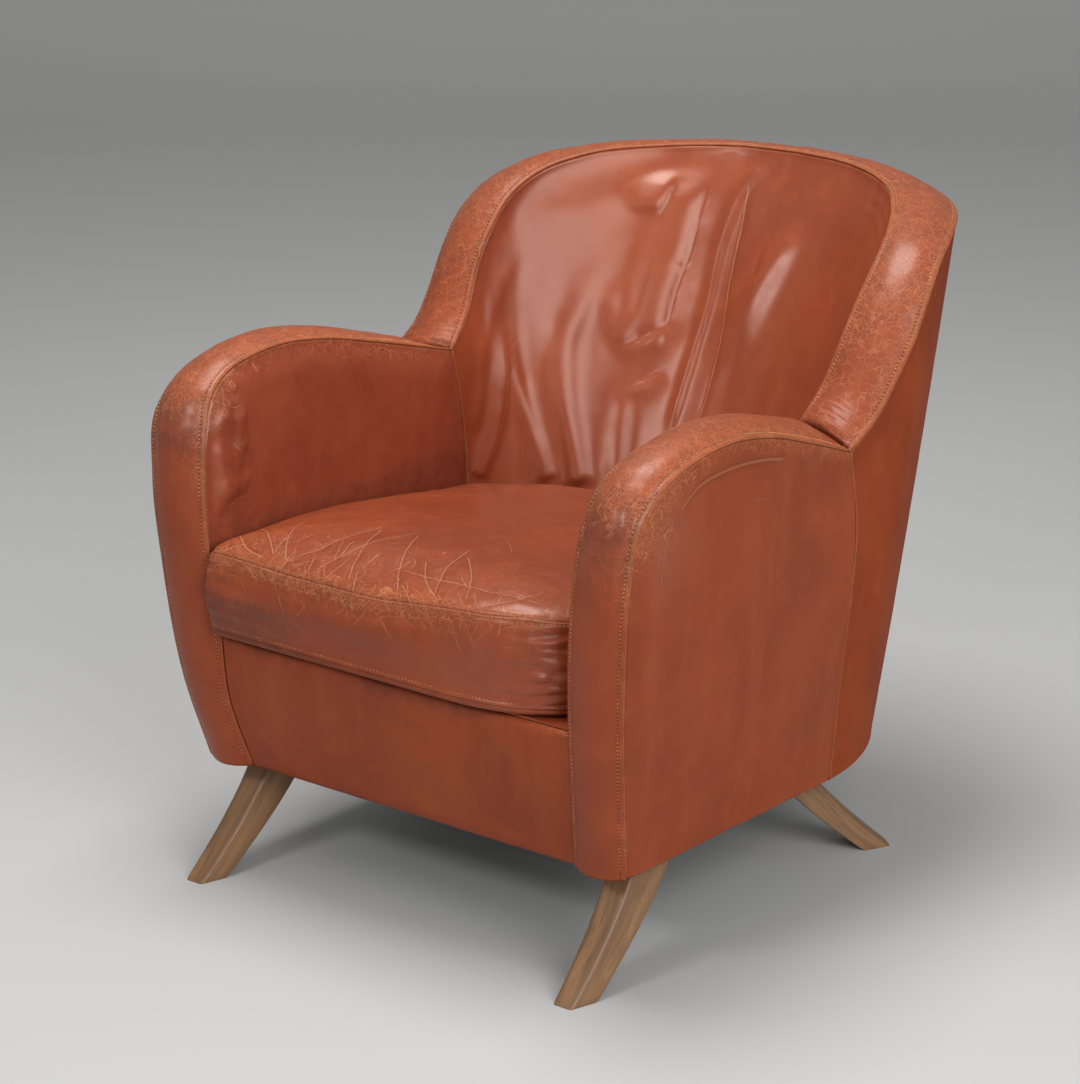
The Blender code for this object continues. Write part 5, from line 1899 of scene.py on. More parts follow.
    def inside(self, shop: Workshop, lumps: Lumps, leather: bpy.types.Material) -> None:
        """Make the inside back.

        Args:
            shop: The workshop.
            lumps: Noise.
            leather: Its finish.
        """
        surface = Surface(fine_grid(self.plan.inside_back(), self.step))
        edge = surface.edge_distance()
        x, y, z = (surface.grid[..., axis] for axis in range(3))
        around = self.unroll_radius * np.arctan2(x, y - self.unroll_centre)
        flat = np.stack([around, z], axis=-1)
        surface.lift(0.0060 * ramp(edge, 0.0, 0.075))
        surface.lift(sum(fold.rise(flat) for fold in self.folds()) * ramp(edge, 0.0, 0.012))
        ripples = np.sin(edge * 2 * math.pi / 0.017 + lumps.at(surface.grid, 0.05))
        surface.lift(0.0005 * ripples * bell(edge - 0.030, 0.020) * ramp(x, 0.10, 0.18) * ramp(z, 0.56, 0.62))
        surface.lift(tucked(edge))
        surface.marks["seam"] = seam_nearness(edge)
        surface.lift(0.0012 * lumps.at(surface.grid, (0.06, 0.06, 0.12)) * ramp(edge, 0.0, 0.03)
                     + 0.0003 * lumps.at(surface.grid, 0.020))
        self.creases().press(surface, flat)
        surface.mark("wear", np.clip(0.42 * bell(edge, 0.012) * ramp(z, 0.50, 0.60), 0, 1))
        # Darker low down towards the cushion; painted shade on the right side, which faces away from the light; patina
        # along the seams.
        surface.mark("patina", np.clip(0.40 * ramp(z, 0.50, 0.40) + 0.2 * bell(edge, 0.004)
                                       + 0.25 * bell(around - 0.16, 0.06) * ramp(z, 0.72, 0.60), 0, 1))
        polished = (bell(around + 0.070, 0.018) * bell(z - 0.685, 0.060) + bell(around + 0.135, 0.022) * bell(z - 0.742, 0.025)
                    + bell(around - 0.020, 0.026) * bell(z - 0.670, 0.060) + bell(around + 0.105, 0.030) * bell(z - 0.565, 0.020))
        surface.mark("gloss", np.clip(0.38 + 0.20 * lumps.at(surface.grid, 0.15) + 0.7 * polished, 0, 1))
        thing = shop.shell("inside_back_cover", surface, self.thickness)
        dress(thing, leather)
        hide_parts("inside_back", "back_foam")

    def outside(self, shop: Workshop, lumps: Lumps, leather: bpy.types.Material) -> None:
        """Make the outside back.

        Args:
            shop: The workshop.
            lumps: Noise.
            leather: Its finish.
        """
        surface = Surface(fine_grid(self.plan.outside_back(), self.outside_step))
        edge = surface.edge_distance()
        surface.lift(tucked(edge, 0.0016))
        surface.marks["seam"] = seam_nearness(edge)
        surface.lift(0.0009 * lumps.at(surface.grid, (0.08, 0.08, 0.20)) * ramp(edge, 0.0, 0.03)
                     + 0.0002 * lumps.at(surface.grid, 0.025))
        near_top = surface.whole_v - surface.v
        ripple = np.sin(surface.u * 2 * math.pi / 0.018 + 4 * lumps.at(surface.grid, 0.05))
        surface.lift(0.0004 * ripple * bell(near_top - 0.012, 0.014))
        surface.mark("wear", 0.55 * bell(near_top, 0.020))
        surface.mark("patina", 0.20 * bell(edge, 0.006) + 0.15 * ramp(surface.grid[..., 2], 0.20, 0.14))
        thing = shop.shell("outside_back_cover", surface, self.thickness)
        dress(thing, leather)
        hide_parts("outside_back")


@dataclass
class Apron:
    """The leather front under the cushion, sewn in a little behind the arms' bands."""

    plan: SeamPlan
    thickness: float = 0.0014
    step: float = 0.0050
    recess: float = 0.0014
    side_gap: float = 0.0002
    turn_under: float = 0.012

    def build(self, shop: Workshop, lumps: Lumps, leather: bpy.types.Material) -> None:
        """Make the apron.

        Args:
            shop: The workshop.
            lumps: Noise.
            leather: Its finish.
        """
        top = self.plan.deck_front[1] - 0.0036
        low, turn = self.plan.body_bottom, np.array([1.0, 0.5, 0.1]) * self.turn_under
        heights = np.concatenate([np.full(3, low), np.linspace(low + 0.0012, top - 0.0012, 30), np.full(3, top)])
        under = np.concatenate([turn, np.zeros(30), turn[::-1]])
        seam = self.plan.arm_inner.at(np.linspace(0.0, 0.5, 400))
        level = np.stack([np.interp(heights, seam[:, 2], seam[:, axis]) for axis in range(3)], axis=1)
        across = np.linspace(-1.0, 1.0, 60)
        grid = np.zeros((len(heights), len(across), 3))
        grid[..., 0] = across[None] * (level[:, 0] - self.side_gap)[:, None]
        grid[..., 1] = (level[:, 1] + self.recess + under)[:, None]
        grid[..., 2] = heights[:, None]
        surface = Surface(fine_grid(grid, self.step))
        x, z = surface.grid[..., 0], surface.grid[..., 2]
        side = np.abs(np.interp(z, heights, level[:, 0]) - np.abs(x))
        up = z - self.plan.body_bottom
        body = ramp(up, 0.0, 0.020)
        surface.lift((tucked(side, 0.0008) + 0.0022 * ramp(side, 0.0, 0.05)) * body * ramp(top - z, 0.0, 0.010))
        surface.lift(0.0006 * bell(up - 0.012, 0.008) + 0.0006 * bell(top - z - 0.005, 0.004))
        surface.marks["seam"] = np.zeros_like(side)
        surface.lift((0.0012 * lumps.at(surface.grid, (0.10, 0.10, 0.05)) * ramp(side, 0.0, 0.02)
                      + 0.0002 * lumps.at(surface.grid, 0.02)) * body * ramp(top - z, 0.0, 0.010))
        # Painted shade: a dark band just under the cushion's overhang; also darker towards the bottom edge and in
        # random patches.
        surface.mark("patina", np.clip(0.65 * ramp(z, 0.262, 0.308) + 0.30 * ramp(z, 0.18, 0.145)
                                       + 0.25 * lumps.at(surface.grid, 0.10), 0, 1))
        surface.mark("wear", 0.22 + 0.45 * bell(top - z, 0.010) * ramp(x, 0.05, 0.25))
        thing = shop.shell("front_apron_cover", surface, self.thickness)
        dress(thing, leather)
        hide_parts("front_apron", "apron_foam")


# ------------------------------------------------------------------------------ seat cushion
@dataclass
class Cushion:
    """The loose, boxed seat cushion: swollen by its filling, cracked along its front."""

    plan: SeamPlan
    front_y: float = -0.4335
    rear_y: float = 0.118
    corner_y: float = 0.036
    half_front: tuple[float, float] = (0.2680, 0.2560)
    half_middle: float = 0.2635
    half_rear: float = 0.2600
    front_corners: tuple[float, float] = (0.017, 0.155)
    boxing: float = 0.112
    lower_seam: float = 0.0075
    radius: float = 0.262
    columns: int = 430
    rest_gap: float = 0.0006
    side_gap: float = 0.0009
    swell_cap: float = 0.014
    start_inset: float = 0.007
    fill: float = 0.75
    stitch_ring: int = 6

    def outline(self, inset: float, count: int) -> Array:
        """The cushion's plan: a tight left corner, a slack right one and a rear that fits the tub.

        Args:
            inset: How far inside the full size.
            count: How many points.

        Returns:
            Points as count by 2, once round to the left.
        """
        left, right = (half - inset for half in self.half_front)
        middle, rear, front = self.half_middle - inset, self.half_rear - inset, self.front_y + inset
        tight, slack = self.front_corners
        stops = [(-left, front, tight), (right, front, slack), (middle, -0.150, 0.060)]
        for turn in np.linspace(1.0, -1.0, 9):
            y = self.rear_y + (self.corner_y - self.rear_y) * turn**2 - inset
            stops.append((rear * turn, y, 0.030))
        stops.append((-middle, -0.150, 0.060))
        path = []
        for before, here, after in zip(stops[-1:] + stops[:-1], stops, stops[1:] + stops[:1]):
            reach = here[2]
            here, before, after = (np.array(stop[:2]) for stop in (here, before, after))
            enter = here + (before - here) * min(0.49, reach / np.linalg.norm(before - here))
            leave = here + (after - here) * min(0.49, reach / np.linalg.norm(after - here))
            for t in np.linspace(0.0, 1.0, 13):
                path.append((1 - t) ** 2 * enter + 2 * t * (1 - t) * here + t**2 * leave)
        path = np.array(path + path[:1])
        flat = np.concatenate([path, np.zeros((len(path), 1))], axis=1)
        return line_at(flat, np.arange(count) / count)[:, :2]

    def seam_height(self, plan: Array) -> Array:
        """Height of the upper seam over the platform, which sags at the front left.

        Args:
            plan: Places on the outline.

        Returns:
            Heights.
        """
        x, y = plan[..., 0], plan[..., 1]
        front = ramp(y, -0.33, -0.40)
        right = 0.013 * ramp(x, -0.03, 0.14) - 0.008 * ramp(x, 0.19, 0.245)
        sides = 0.020 * bell(y + 0.23, 0.16) * ramp(np.abs(x), 0.12, 0.24)
        rear = 0.016 * ramp(y, -0.04, 0.07) * ramp(np.abs(x), 0.26, 0.12)
        return 0.102 + right * front + sides + rear

    def crown(self, distance: Array) -> Array:
        """Rise of the top above its seam: a tight roll at the edge, then a long slow swell."""
        return 0.011 * (1 - np.exp(-distance / 0.009)) + 0.028 * (1 - np.exp(-distance / 0.070))

    def rings(self, inset: float, count: int, inner: float, middle: float) -> tuple[Array, Array, Array]:
        """Closed rings from the middle of the underside over the boxing to the middle of the top.

        Args:
            inset: How far inside the full size.
            count: Points in a ring.
            inner: Spacing of the rings on the top and underside.
            middle: Spacing of the rings on the boxing.

        Returns:
            The grid, and for each ring its part (0 underside, 1 boxing, 2 top) and its distance
            from the seam above or beside it.
        """
        outline = self.outline(inset, count)
        centre = np.array([0.0, -0.170])
        close = np.array([0.0, 0.0006, 0.0013, 0.0022, 0.0033, 0.0044, 0.0052, 0.0061, 0.0074, 0.0092])
        reach = np.concatenate([close, np.arange(0.0092 + inner, self.radius * 0.985, inner)])
        tall = self.boxing - self.lower_seam
        half = 0.5 * tall
        sides = np.concatenate([close, np.linspace(0.0092, half, round((half - 0.0092) / middle) + 1)[1:]])
        top = self.seam_height(outline) - inset
        seat = self.plan.deck_height(outline[:, 1]) + self.rest_gap
        grid, facts = [], []
        for distance in reach[::-1][:-1]:
            turn = math.exp(-distance / 0.0035)
            plan = centre + (outline - centre) * (1 - distance / self.radius)
            height = inset + self.lower_seam * turn
            grid.append(np.column_stack([plan, self.plan.deck_height(plan[:, 1]) + self.rest_gap + height]))
            facts.append((0, distance))
        for share in np.concatenate([sides, tall - sides[::-1][1:]]) / tall:
            bulge = 0.0075 * math.sin(math.pi * share) ** 0.75
            plan = centre + (outline - centre) * (1 + bulge / self.radius)
            grid.append(np.column_stack([plan, seat + inset + self.lower_seam + (top - inset - self.lower_seam) * share]))
            facts.append((1, min(share, 1 - share) * tall))
        for distance in reach[1:]:
            plan = centre + (outline - centre) * (1 - distance / self.radius)
            fade = math.exp(-distance / 0.055)
            level = top * fade + (self.boxing - inset) * (1 - fade) + self.crown(distance)
            grid.append(np.column_stack([plan, self.plan.deck_height(plan[:, 1]) + self.rest_gap + level]))
            facts.append((2, distance))
        facts = np.array(facts)
        return np.array(grid), facts[:, 0], facts[:, 1]

    def swollen(self, shop: Workshop) -> Callable[[Array, Array], Array] | None:
        """Blow up a slightly smaller copy with the cloth solver.

        Args:
            shop: The workshop.

        Returns:
            A function that tells how far the swollen skin stands from points along directions.
        """
        grid, _, _ = self.rings(self.start_inset, 96, 0.012, 0.012)
        rows, columns = grid.shape[:2]
        faces = grid_faces(rows, columns, True).tolist()
        faces += [list(range(columns))[::-1], list(range((rows - 1) * columns, rows * columns))]
        thing = shop.mesh("cushion_form", grid.reshape(-1, 3), faces)
        remesh = thing.modifiers.new("even", "REMESH")
        remesh.mode, remesh.voxel_size, remesh.use_smooth_shade = "VOXEL", 0.006, True
        graph = bpy.context.evaluated_depsgraph_get()
        even = bpy.data.meshes.new_from_object(thing.evaluated_get(graph))
        thing.modifiers.clear()
        thing.data = even
        start = np.empty(len(even.vertices) * 3)
        even.vertices.foreach_get("co", start)
        start = start.reshape(-1, 3)
        cloth = thing.modifiers.new("cloth", "CLOTH")
        cloth.settings.use_pressure = True
        cloth.settings.uniform_pressure_force = 0.9
        cloth.settings.effector_weights.gravity = 0.0
        cloth.settings.quality = 5
        cloth.settings.tension_stiffness = 60.0
        cloth.settings.compression_stiffness = 60.0
        cloth.settings.bending_stiffness = 2.0
        cloth.collision_settings.use_collision = False
        scene = bpy.context.scene
        scene.frame_start, scene.frame_end = 1, 20
        for number in range(1, 21):
            scene.frame_set(number)
        graph = bpy.context.evaluated_depsgraph_get()
        result = bpy.data.meshes.new_from_object(thing.evaluated_get(graph))
        thing.modifiers.clear()
        end = np.empty(len(result.vertices) * 3)
        result.vertices.foreach_get("co", end)
        end = end.reshape(-1, 3)
        move = end - start
        size = np.linalg.norm(move, axis=1, keepdims=True)
        end = start + move * np.minimum(1.0, self.swell_cap / np.maximum(size, 1e-9))
        tree = BVHTree.FromPolygons([Vector(point) for point in end], [list(face.vertices) for face in result.polygons])
        log.info("cushion cloth: moved %.1f mm at most, %.1f mm at the median", 1000 * float(size.max()),
                 1000 * float(np.median(size)))
        scene.frame_set(1)
        bpy.data.objects.remove(thing, do_unlink=True)

        def stand_off(points: Array, ways: Array) -> Array:
            """Distances from points to the swollen skin along directions.

            Args:
                points: Points as n by 3.
                ways: Directions as n by 3.

            Returns:
                Signed distances.
            """
            found = np.zeros(len(points))
            for number, (point, way) in enumerate(zip(points, ways)):
                origin = Vector(point - 0.030 * way)
                hit = tree.ray_cast(origin, Vector(way), 0.075)
                found[number] = (hit[3] - 0.030) if hit[0] is not None else np.nan
            return found

        return stand_off

    def cracks(self) -> tuple[CreaseSet, ...]:
        """The cracks that fan over the front of the seat and its boxing.

        Returns:
            Sets of cracks, on the top by x and y and on the boxing by x and depth below the seam.
        """
        chance = np.random.default_rng(7)
        fan = (
            ((-0.099, -0.299), (-0.126, -0.386), (-0.159, -0.430)), ((-0.098, -0.306), (-0.060, -0.404), (-0.045, -0.430)),
            ((-0.051, -0.295), (-0.004, -0.387), (0.031, -0.430)), ((-0.052, -0.294), (-0.080, -0.365), (-0.106, -0.430)),
            ((-0.012, -0.381), (0.063, -0.389), (0.130, -0.391), (0.221, -0.377)), ((-0.245, -0.358), (-0.194, -0.397), (-0.165, -0.421)),
            ((-0.250, -0.392), (-0.215, -0.416), (-0.176, -0.422)), ((-0.200, -0.330), (-0.174, -0.390), (-0.145, -0.424)),
            ((0.036, -0.307), (0.055, -0.380), (0.078, -0.424)), ((0.012, -0.358), (0.041, -0.393), (0.086, -0.425)),
            ((0.050, -0.328), (0.098, -0.381), (0.125, -0.425)), ((0.184, -0.354), (0.168, -0.398), (0.137, -0.423)),
        )
        creases = [Crease(knots, 0.0010, 0.0034, 1.0) for knots in fan]
        creases += [Crease(((0.165 + 0.008 * k, -0.466 - 0.021 * k), (0.205, -0.466 - 0.019 * k), (0.232, -0.454 - 0.018 * k)),
                           0.0012, 0.0045, 0.34) for k in range(4)]
        for x in np.linspace(-0.212, 0.150, 17):
            start = np.array([x + chance.uniform(-0.008, 0.008), self.front_y - chance.choice([0.004, 0.010, 0.026])])
            run = chance.uniform(0.018, 0.050) * unit(np.array([chance.choice([-0.6, 0.5, 0.9]), -1.0]))
            bow = chance.uniform(-0.12, 0.12) * run[::-1]
            creases.append(self.crack(start, start + run, bow, 0.46))
        for _ in range(26):
            start = np.array([chance.uniform(-0.230, 0.205), chance.uniform(-0.418, -0.355)])
            lean = np.clip((start[0] + 0.04) * 4 + chance.normal(0.0, 0.6), -1.6, 1.6)
            run = chance.uniform(0.018, 0.052) * unit(np.array([lean, -1.0]))
            end = np.maximum(start + run, (-1.0, self.front_y + 0.001))
            creases.append(self.crack(start, end, chance.uniform(-0.15, 0.15) * run[::-1], 0.60))
        for x, y in ((-0.223, -0.059), (-0.224, -0.163), (-0.190, -0.085), (-0.237, -0.260), (0.030, -0.239), (0.053, -0.307)):
            run = np.array([chance.uniform(0.03, 0.07), -chance.uniform(0.02, 0.06)])
            creases.append(self.crack(np.array([x, y]), np.array([x, y]) + run, 0.1 * run[::-1], 0.45))
        return CreaseSet.share_out(tuple(creases), ("crease_a", "crease_b", "crease_c"))

    @staticmethod
    def crack(start: Array, end: Array, bow: Array, strength: float) -> Crease:
        """One short crack between two places, bowed to one side."""
        return Crease((tuple(start), tuple((start + end) / 2 + bow), tuple(end)), 0.0006, 0.0030, strength)

    def build(self, shop: Workshop, thread: Thread, lumps: Lumps, leather: bpy.types.Material) -> None:
        """Make the cushion.

        Args:
            shop: The workshop.
            thread: The thread.
            lumps: Noise.
            leather: Its finish.
        """
        grid, part, distance = self.rings(0.0, self.columns, 0.0040, 0.0030)
        rows, columns = grid.shape[:2]
        normals = self.normals(grid)
        stand_off = self.swollen(shop)
        if stand_off is not None:
            some = grid[:, ::5].reshape(-1, 3), normals[:, ::5].reshape(-1, 3)
            move = stand_off(*some).reshape(rows, -1)
            move = np.where(np.isnan(move), np.nanmedian(move), move)
            move = np.clip(move, -0.008, 0.008)
            wide = np.concatenate([move, move[:, :1]], axis=1)
            place = np.arange(columns) / columns * move.shape[1]
            low = np.floor(place).astype(int)
            share = place - low
            move = wide[:, low] * (1 - share) + wide[:, low + 1] * share
            for _ in range(6):
                move[1:-1] = (move[:-2] + 2 * move[1:-1] + move[2:]) / 4
                move = (np.roll(move, 1, axis=1) + 2 * move + np.roll(move, -1, axis=1)) / 4
            keep = (part != 0)[:, None] * ramp(grid[..., 2] - self.plan.deck_height(grid[..., 1]), 0.0, 0.02)
            grid = grid + (np.clip(move, -0.006, 0.0035) * keep)[..., None] * normals
        grid = self.detail(grid, part, distance, lumps)
        surface = self.finished(grid, part, distance, lumps)
        self.press_sides(surface.grid)
        faces = grid_faces(rows, columns, True).tolist()
        faces += [list(range(columns))[::-1], list(range((rows - 1) * columns, rows * columns))]
        marks = {label: (values.reshape(rows * columns, -1) if values.ndim == 3 else values.ravel())
                 for label, values in surface.marks.items()}
        thing = shop.mesh("seat_cushion", surface.grid.reshape(-1, 3), faces, marks)
        dress(thing, leather)
        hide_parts("cushion_case", "cushion_core")
        self.stitch(thread, surface, part, distance)

    def press_sides(self, grid: Array) -> None:
        """Flatten the sides wherever they would run into the arms.

        Args:
            grid: The rings, which are changed.
        """
        graph = bpy.context.evaluated_depsgraph_get()
        for side in Side:
            trees = [BVHTree.FromObject(bpy.data.objects[f"{name}_{side.label}_cover"], graph)
                     for name in ("arm_inside", "arm_band")]
            way = Vector((side.value, 0.0, 0.0))
            for place in np.argwhere(grid[..., 0] * side.value > 0.235):
                x, y, z = grid[tuple(place)]
                start = Vector((side.value * 0.18, y, z))
                hits = [tree.ray_cast(start, way, 0.2)[3] for tree in trees]
                room = min((hit for hit in hits if hit is not None), default=0.2)
                grid[tuple(place)][0] = side.value * min(abs(x), 0.18 + room - self.side_gap)

    def normals(self, grid: Array) -> Array:
        """Outward directions of a closed grid.

        Args:
            grid: The rings.

        Returns:
            Unit directions.
        """
        round_grid = np.concatenate([grid[:, -1:], grid, grid[:, :1]], axis=1)
        return grid_normals(round_grid)[:, 1:-1]

    def detail(self, grid: Array, part: Array, distance: Array, lumps: Lumps) -> Array:
        """Turn the seams in, and wrinkle the boxing and the top.

        Args:
            grid: The rings.
            part: Which part each ring belongs to.
            distance: Distance of each ring from its seam.
            lumps: Noise.

        Returns:
            The changed rings.
        """
        normals = self.normals(grid)
        row_part, row_distance = part[:, None], distance[:, None]
        level = grid[..., 2] - self.plan.deck_height(grid[..., 1])
        upper = level > self.boxing * 0.5
        boxing, top = row_part == 1, row_part == 2
        # The seam lies in a groove between two rolls, and the stitches pull a shallow one below it.
        groove = -0.0013 * bell(row_distance, 0.0010) - 0.0008 * bell(row_distance - 0.0052, 0.0010) * boxing
        roll = 0.0009 * bell(row_distance - 0.0040, 0.0030) * np.where(top, 0.8, 0.7)
        under = np.where(row_part == 0, 0.0, 1.0)
        grid = grid + ((groove + roll) * under)[..., None] * normals
        x, y = grid[..., 0], grid[..., 1]
        free = ramp(row_distance, 0.001, 0.012)
        # Horizontal wrinkles where the boxing turns the front corners.
        turn = bell(np.abs(x) - 0.250, 0.060) * ramp(y, -0.28, -0.36)
        right = np.where(x > 0, 1.0, 0.35)
        waves = np.sin(level * 2 * math.pi / 0.0150 + 3.0 * lumps.at(grid, (0.05, 0.05, 0.02)))
        height = 0.0020 * waves * turn * right * boxing * free
        # Broad dents and pulls, then small ones where the leather has dried out.
        pulls = np.sin(x * 2 * math.pi / 0.027 + 5.0 * lumps.at(grid, 0.05))
        height = height + 0.0005 * pulls * bell(row_distance - 0.012, 0.010) * np.where(upper & boxing, 1.0, 0.0)
        height = height + 0.0016 * lumps.at(grid, (0.075, 0.075, 0.05)) * free * np.where(top, 1.0, 0.8)
        dry = np.where(top, ramp(y, -0.20, -0.36), 0.7)
        height = height + 0.0006 * lumps.at(grid, 0.019) * free * dry
        corner = bell(x - 0.215, 0.065) * ramp(y, -0.26, -0.34)
        height = height + 0.0017 * lumps.at(grid, (0.030, 0.014, 0.012)) * corner * free
        # The middle of the seat has been sat in.
        height = height - 0.0060 * bell(np.hypot(x, y + 0.15), 0.16) * top
        return grid + (height * under)[..., None] * normals

    def finished(self, grid: Array, part: Array, distance: Array, lumps: Lumps) -> Surface:
        """Press the cracks in and mark the wear.

        Args:
            grid: The rings.
            part: Which part each ring belongs to.
            distance: Distance of each ring from its seam.
            lumps: Noise; not used.

        Returns:
            The surface with its marks.
        """
        surface = Surface(grid)
        x, y = grid[..., 0], grid[..., 1]
        level = grid[..., 2] - self.plan.deck_height(y)
        top = (part == 2)[:, None] | np.zeros(x.shape, dtype=bool)
        upper = level > self.boxing * 0.5
        seam = np.broadcast_to(distance[:, None], x.shape)
        below = np.where(upper, seam, self.boxing - seam)
        front_box = (~top) & (y < -0.33) & (part == 1)[:, None]
        flat = np.where(top[..., None], grid[..., :2], 9.0)
        flat = np.where(front_box[..., None], np.stack([x, self.front_y - below], axis=-1), flat)
        for crease_set in self.cracks():
            crease_set.press(surface, flat)
        front = ramp(y, -0.24, -0.40)
        two_thirds = ramp(x, 0.16, 0.05)
        boxing = np.where(~top, 1.0, 0.0)
        fringe = bell(below - 0.004, 0.017) * front * boxing * (0.35 + 0.65 * two_thirds)
        edge_wear = bell(seam, 0.010) * front * top
        # The top's wear is real, and its baseline also pales the whole top as a painted sheen.
        surface.mark("wear", np.clip(top * (0.36 + 0.24 * front) + 0.30 * edge_wear + 0.35 * fringe
                                     + boxing * front * (0.27 + 0.30 * bell(below, 0.045)), 0, 1))
        surface.mark("fringe", np.clip(fringe + 0.55 * edge_wear * two_thirds, 0, 1))
        # Painted shade: the lower boxing, under the crown's roll, and its left end, turned from the light, are darker;
        # also darker beside the seams and on the underside.
        left = ramp(x, -0.02, -0.25)
        low = ramp(below, 0.020, 0.075)
        soil_and_shade = boxing * (0.30 * low + 0.55 * left * low + 0.35 * bell(below, 0.010)) + 0.10 * bell(seam, 0.004)
        surface.mark("patina", np.clip(soil_and_shade + 0.25 * (part == 0)[:, None], 0, 1))
        corner = bell(x - 0.195, 0.070) * bell(y + 0.415, 0.055)
        surface.mark("gloss", np.clip(1.5 * corner + 0.70 * top * ramp(y, -0.38, -0.15) + 0.15, 0, 1))
        surface.marks["seam"] = seam_nearness(seam) * (part != 0)[:, None]
        return surface

    def stitch(self, thread: Thread, surface: Surface, part: Array, distance: Array) -> None:
        """Sew the rows beside the upper and lower seams.

        Args:
            thread: The thread.
            surface: The cushion's final surface.
            part: Which part each ring belongs to.
            distance: Distance of each ring from its seam; not used.
        """
        normals = self.normals(surface.grid)
        boxing = np.nonzero(part == 1)[0]
        for row in (boxing[-1] - self.stitch_ring, boxing[0] + self.stitch_ring):
            line = np.concatenate([surface.grid[row], surface.grid[row][:1]])
            ways = np.concatenate([normals[row], normals[row][:1]])
            thread.sew(line, ways, 1.3)


# ------------------------------------------------------------------------------ legs
@dataclass
class Legs:
    """Four raked sabre legs, narrow at the toe and wide at the heel."""

    top: float = 0.1363
    sweep: float = 0.117
    curve: float = 1.35
    toe_width: tuple[float, float] = (0.026, 0.036)
    heel_width: tuple[float, float] = (0.0465, 0.068)
    length: tuple[float, float] = (0.0375, 0.050)
    lean_in: float = 0.009
    front_toe: tuple[float, float] = (0.2845, -0.450)
    rear_toe: tuple[float, float] = (0.2940, 0.184)
    rear_turn: float = math.radians(40.0)
    edge_radius: float = 0.0042
    rings: int = 30

    def section(self, toe: tuple[float, float], direction: float, rise: float) -> tuple[Array, Array, Array]:
        """The leg's cross-section at a share of its height.

        Args:
            toe: Where the toe stands.
            direction: Which way the leg points.
            rise: Share of its height.

        Returns:
            The section's points, their grain coordinates, and how near each is to an edge.
        """
        forward = np.array([math.sin(direction), -math.cos(direction)])
        across = np.array([math.cos(direction), math.sin(direction)])
        swept = 1 - (1 - rise) ** self.curve
        lean = -self.lean_in * rise * math.copysign(1.0, toe[0])
        front = np.array(toe) - forward * self.sweep * swept + np.array([lean, 0.0])
        length, toe_half, heel_half = (
            low + (high - low) * rise
            for low, high in (self.length, tuple(w / 2 for w in self.toe_width), tuple(w / 2 for w in self.heel_width)))
        corners = np.array([(-toe_half, 0.0), (toe_half, 0.0), (heel_half, -length), (-heel_half, -length)])
        points, near = [], []
        foot = 1.0 - 0.35 * bell(rise, 0.02)
        for number in range(4):
            here, after, before = corners[number], corners[(number + 1) % 4], corners[number - 1]
            enter, leave = unit(before - here) * self.edge_radius, unit(after - here) * self.edge_radius
            for t in np.linspace(0.0, 1.0, 6):
                points.append(here + enter * (1 - t) ** 2 + leave * t**2)
                near.append(1.0)
            for t in (0.25, 0.5, 0.75):
                points.append(here + (after - here) * t + unit(after - here) * self.edge_radius * (1 - 2 * t))
                near.append(0.0)
        points = np.array(points)
        shrink = (1 - 0.012 * (1 - foot) / 0.35 / 0.35) if rise < 0.03 else 1.0
        middle = np.array([0.0, -length / 2])
        local = middle + (points - middle) * shrink
        plan = front[None] + local[:, :1] * across + local[:, 1:] * forward
        grain = np.column_stack([local, np.full(len(local), rise * self.top * 1.3)])
        return np.column_stack([plan, np.full(len(plan), rise * self.top)]), grain, np.array(near)

    def build(self, shop: Workshop, wood: bpy.types.Material) -> None:
        """Make the four legs.

        Args:
            shop: The workshop.
            wood: Their finish.
        """
        rises = np.concatenate([[0.0, 0.006, 0.015], np.linspace(0.03, 1.0, self.rings)])
        for side in Side:
            for end, toe, turn in (("front", self.front_toe, 0.0), ("rear", self.rear_toe, math.pi - self.rear_turn)):
                direction = turn if end == "front" else side.value * turn
                stand = (side.value * toe[0], toe[1])
                parts = [self.section(stand, direction, rise) for rise in rises]
                points = np.array([part[0] for part in parts])
                shift = 0.13 * (1 + side.value) + (0.31 if end == "rear" else 0.0)
                grain = np.array([part[1] for part in parts]) + shift
                near = np.array([part[2] for part in parts])
                low = np.broadcast_to(ramp(rises, 0.06, 0.0)[:, None], near.shape)
                rows, columns = points.shape[:2]
                faces = grid_faces(rows, columns, True).tolist()
                faces += [list(range(columns))[::-1], list(range((rows - 1) * columns, rows * columns))]
                marks = {"grain": grain.reshape(-1, 3), "edge": np.maximum(near, low).ravel()}
                name = f"leg_{end}_{side.label}"
                thing = shop.mesh(name + "_turned", points.reshape(-1, 3), faces, marks)
                for flat in thing.data.polygons[-2:]:
                    flat.use_smooth = False
                dress(thing, wood)
                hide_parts(name)


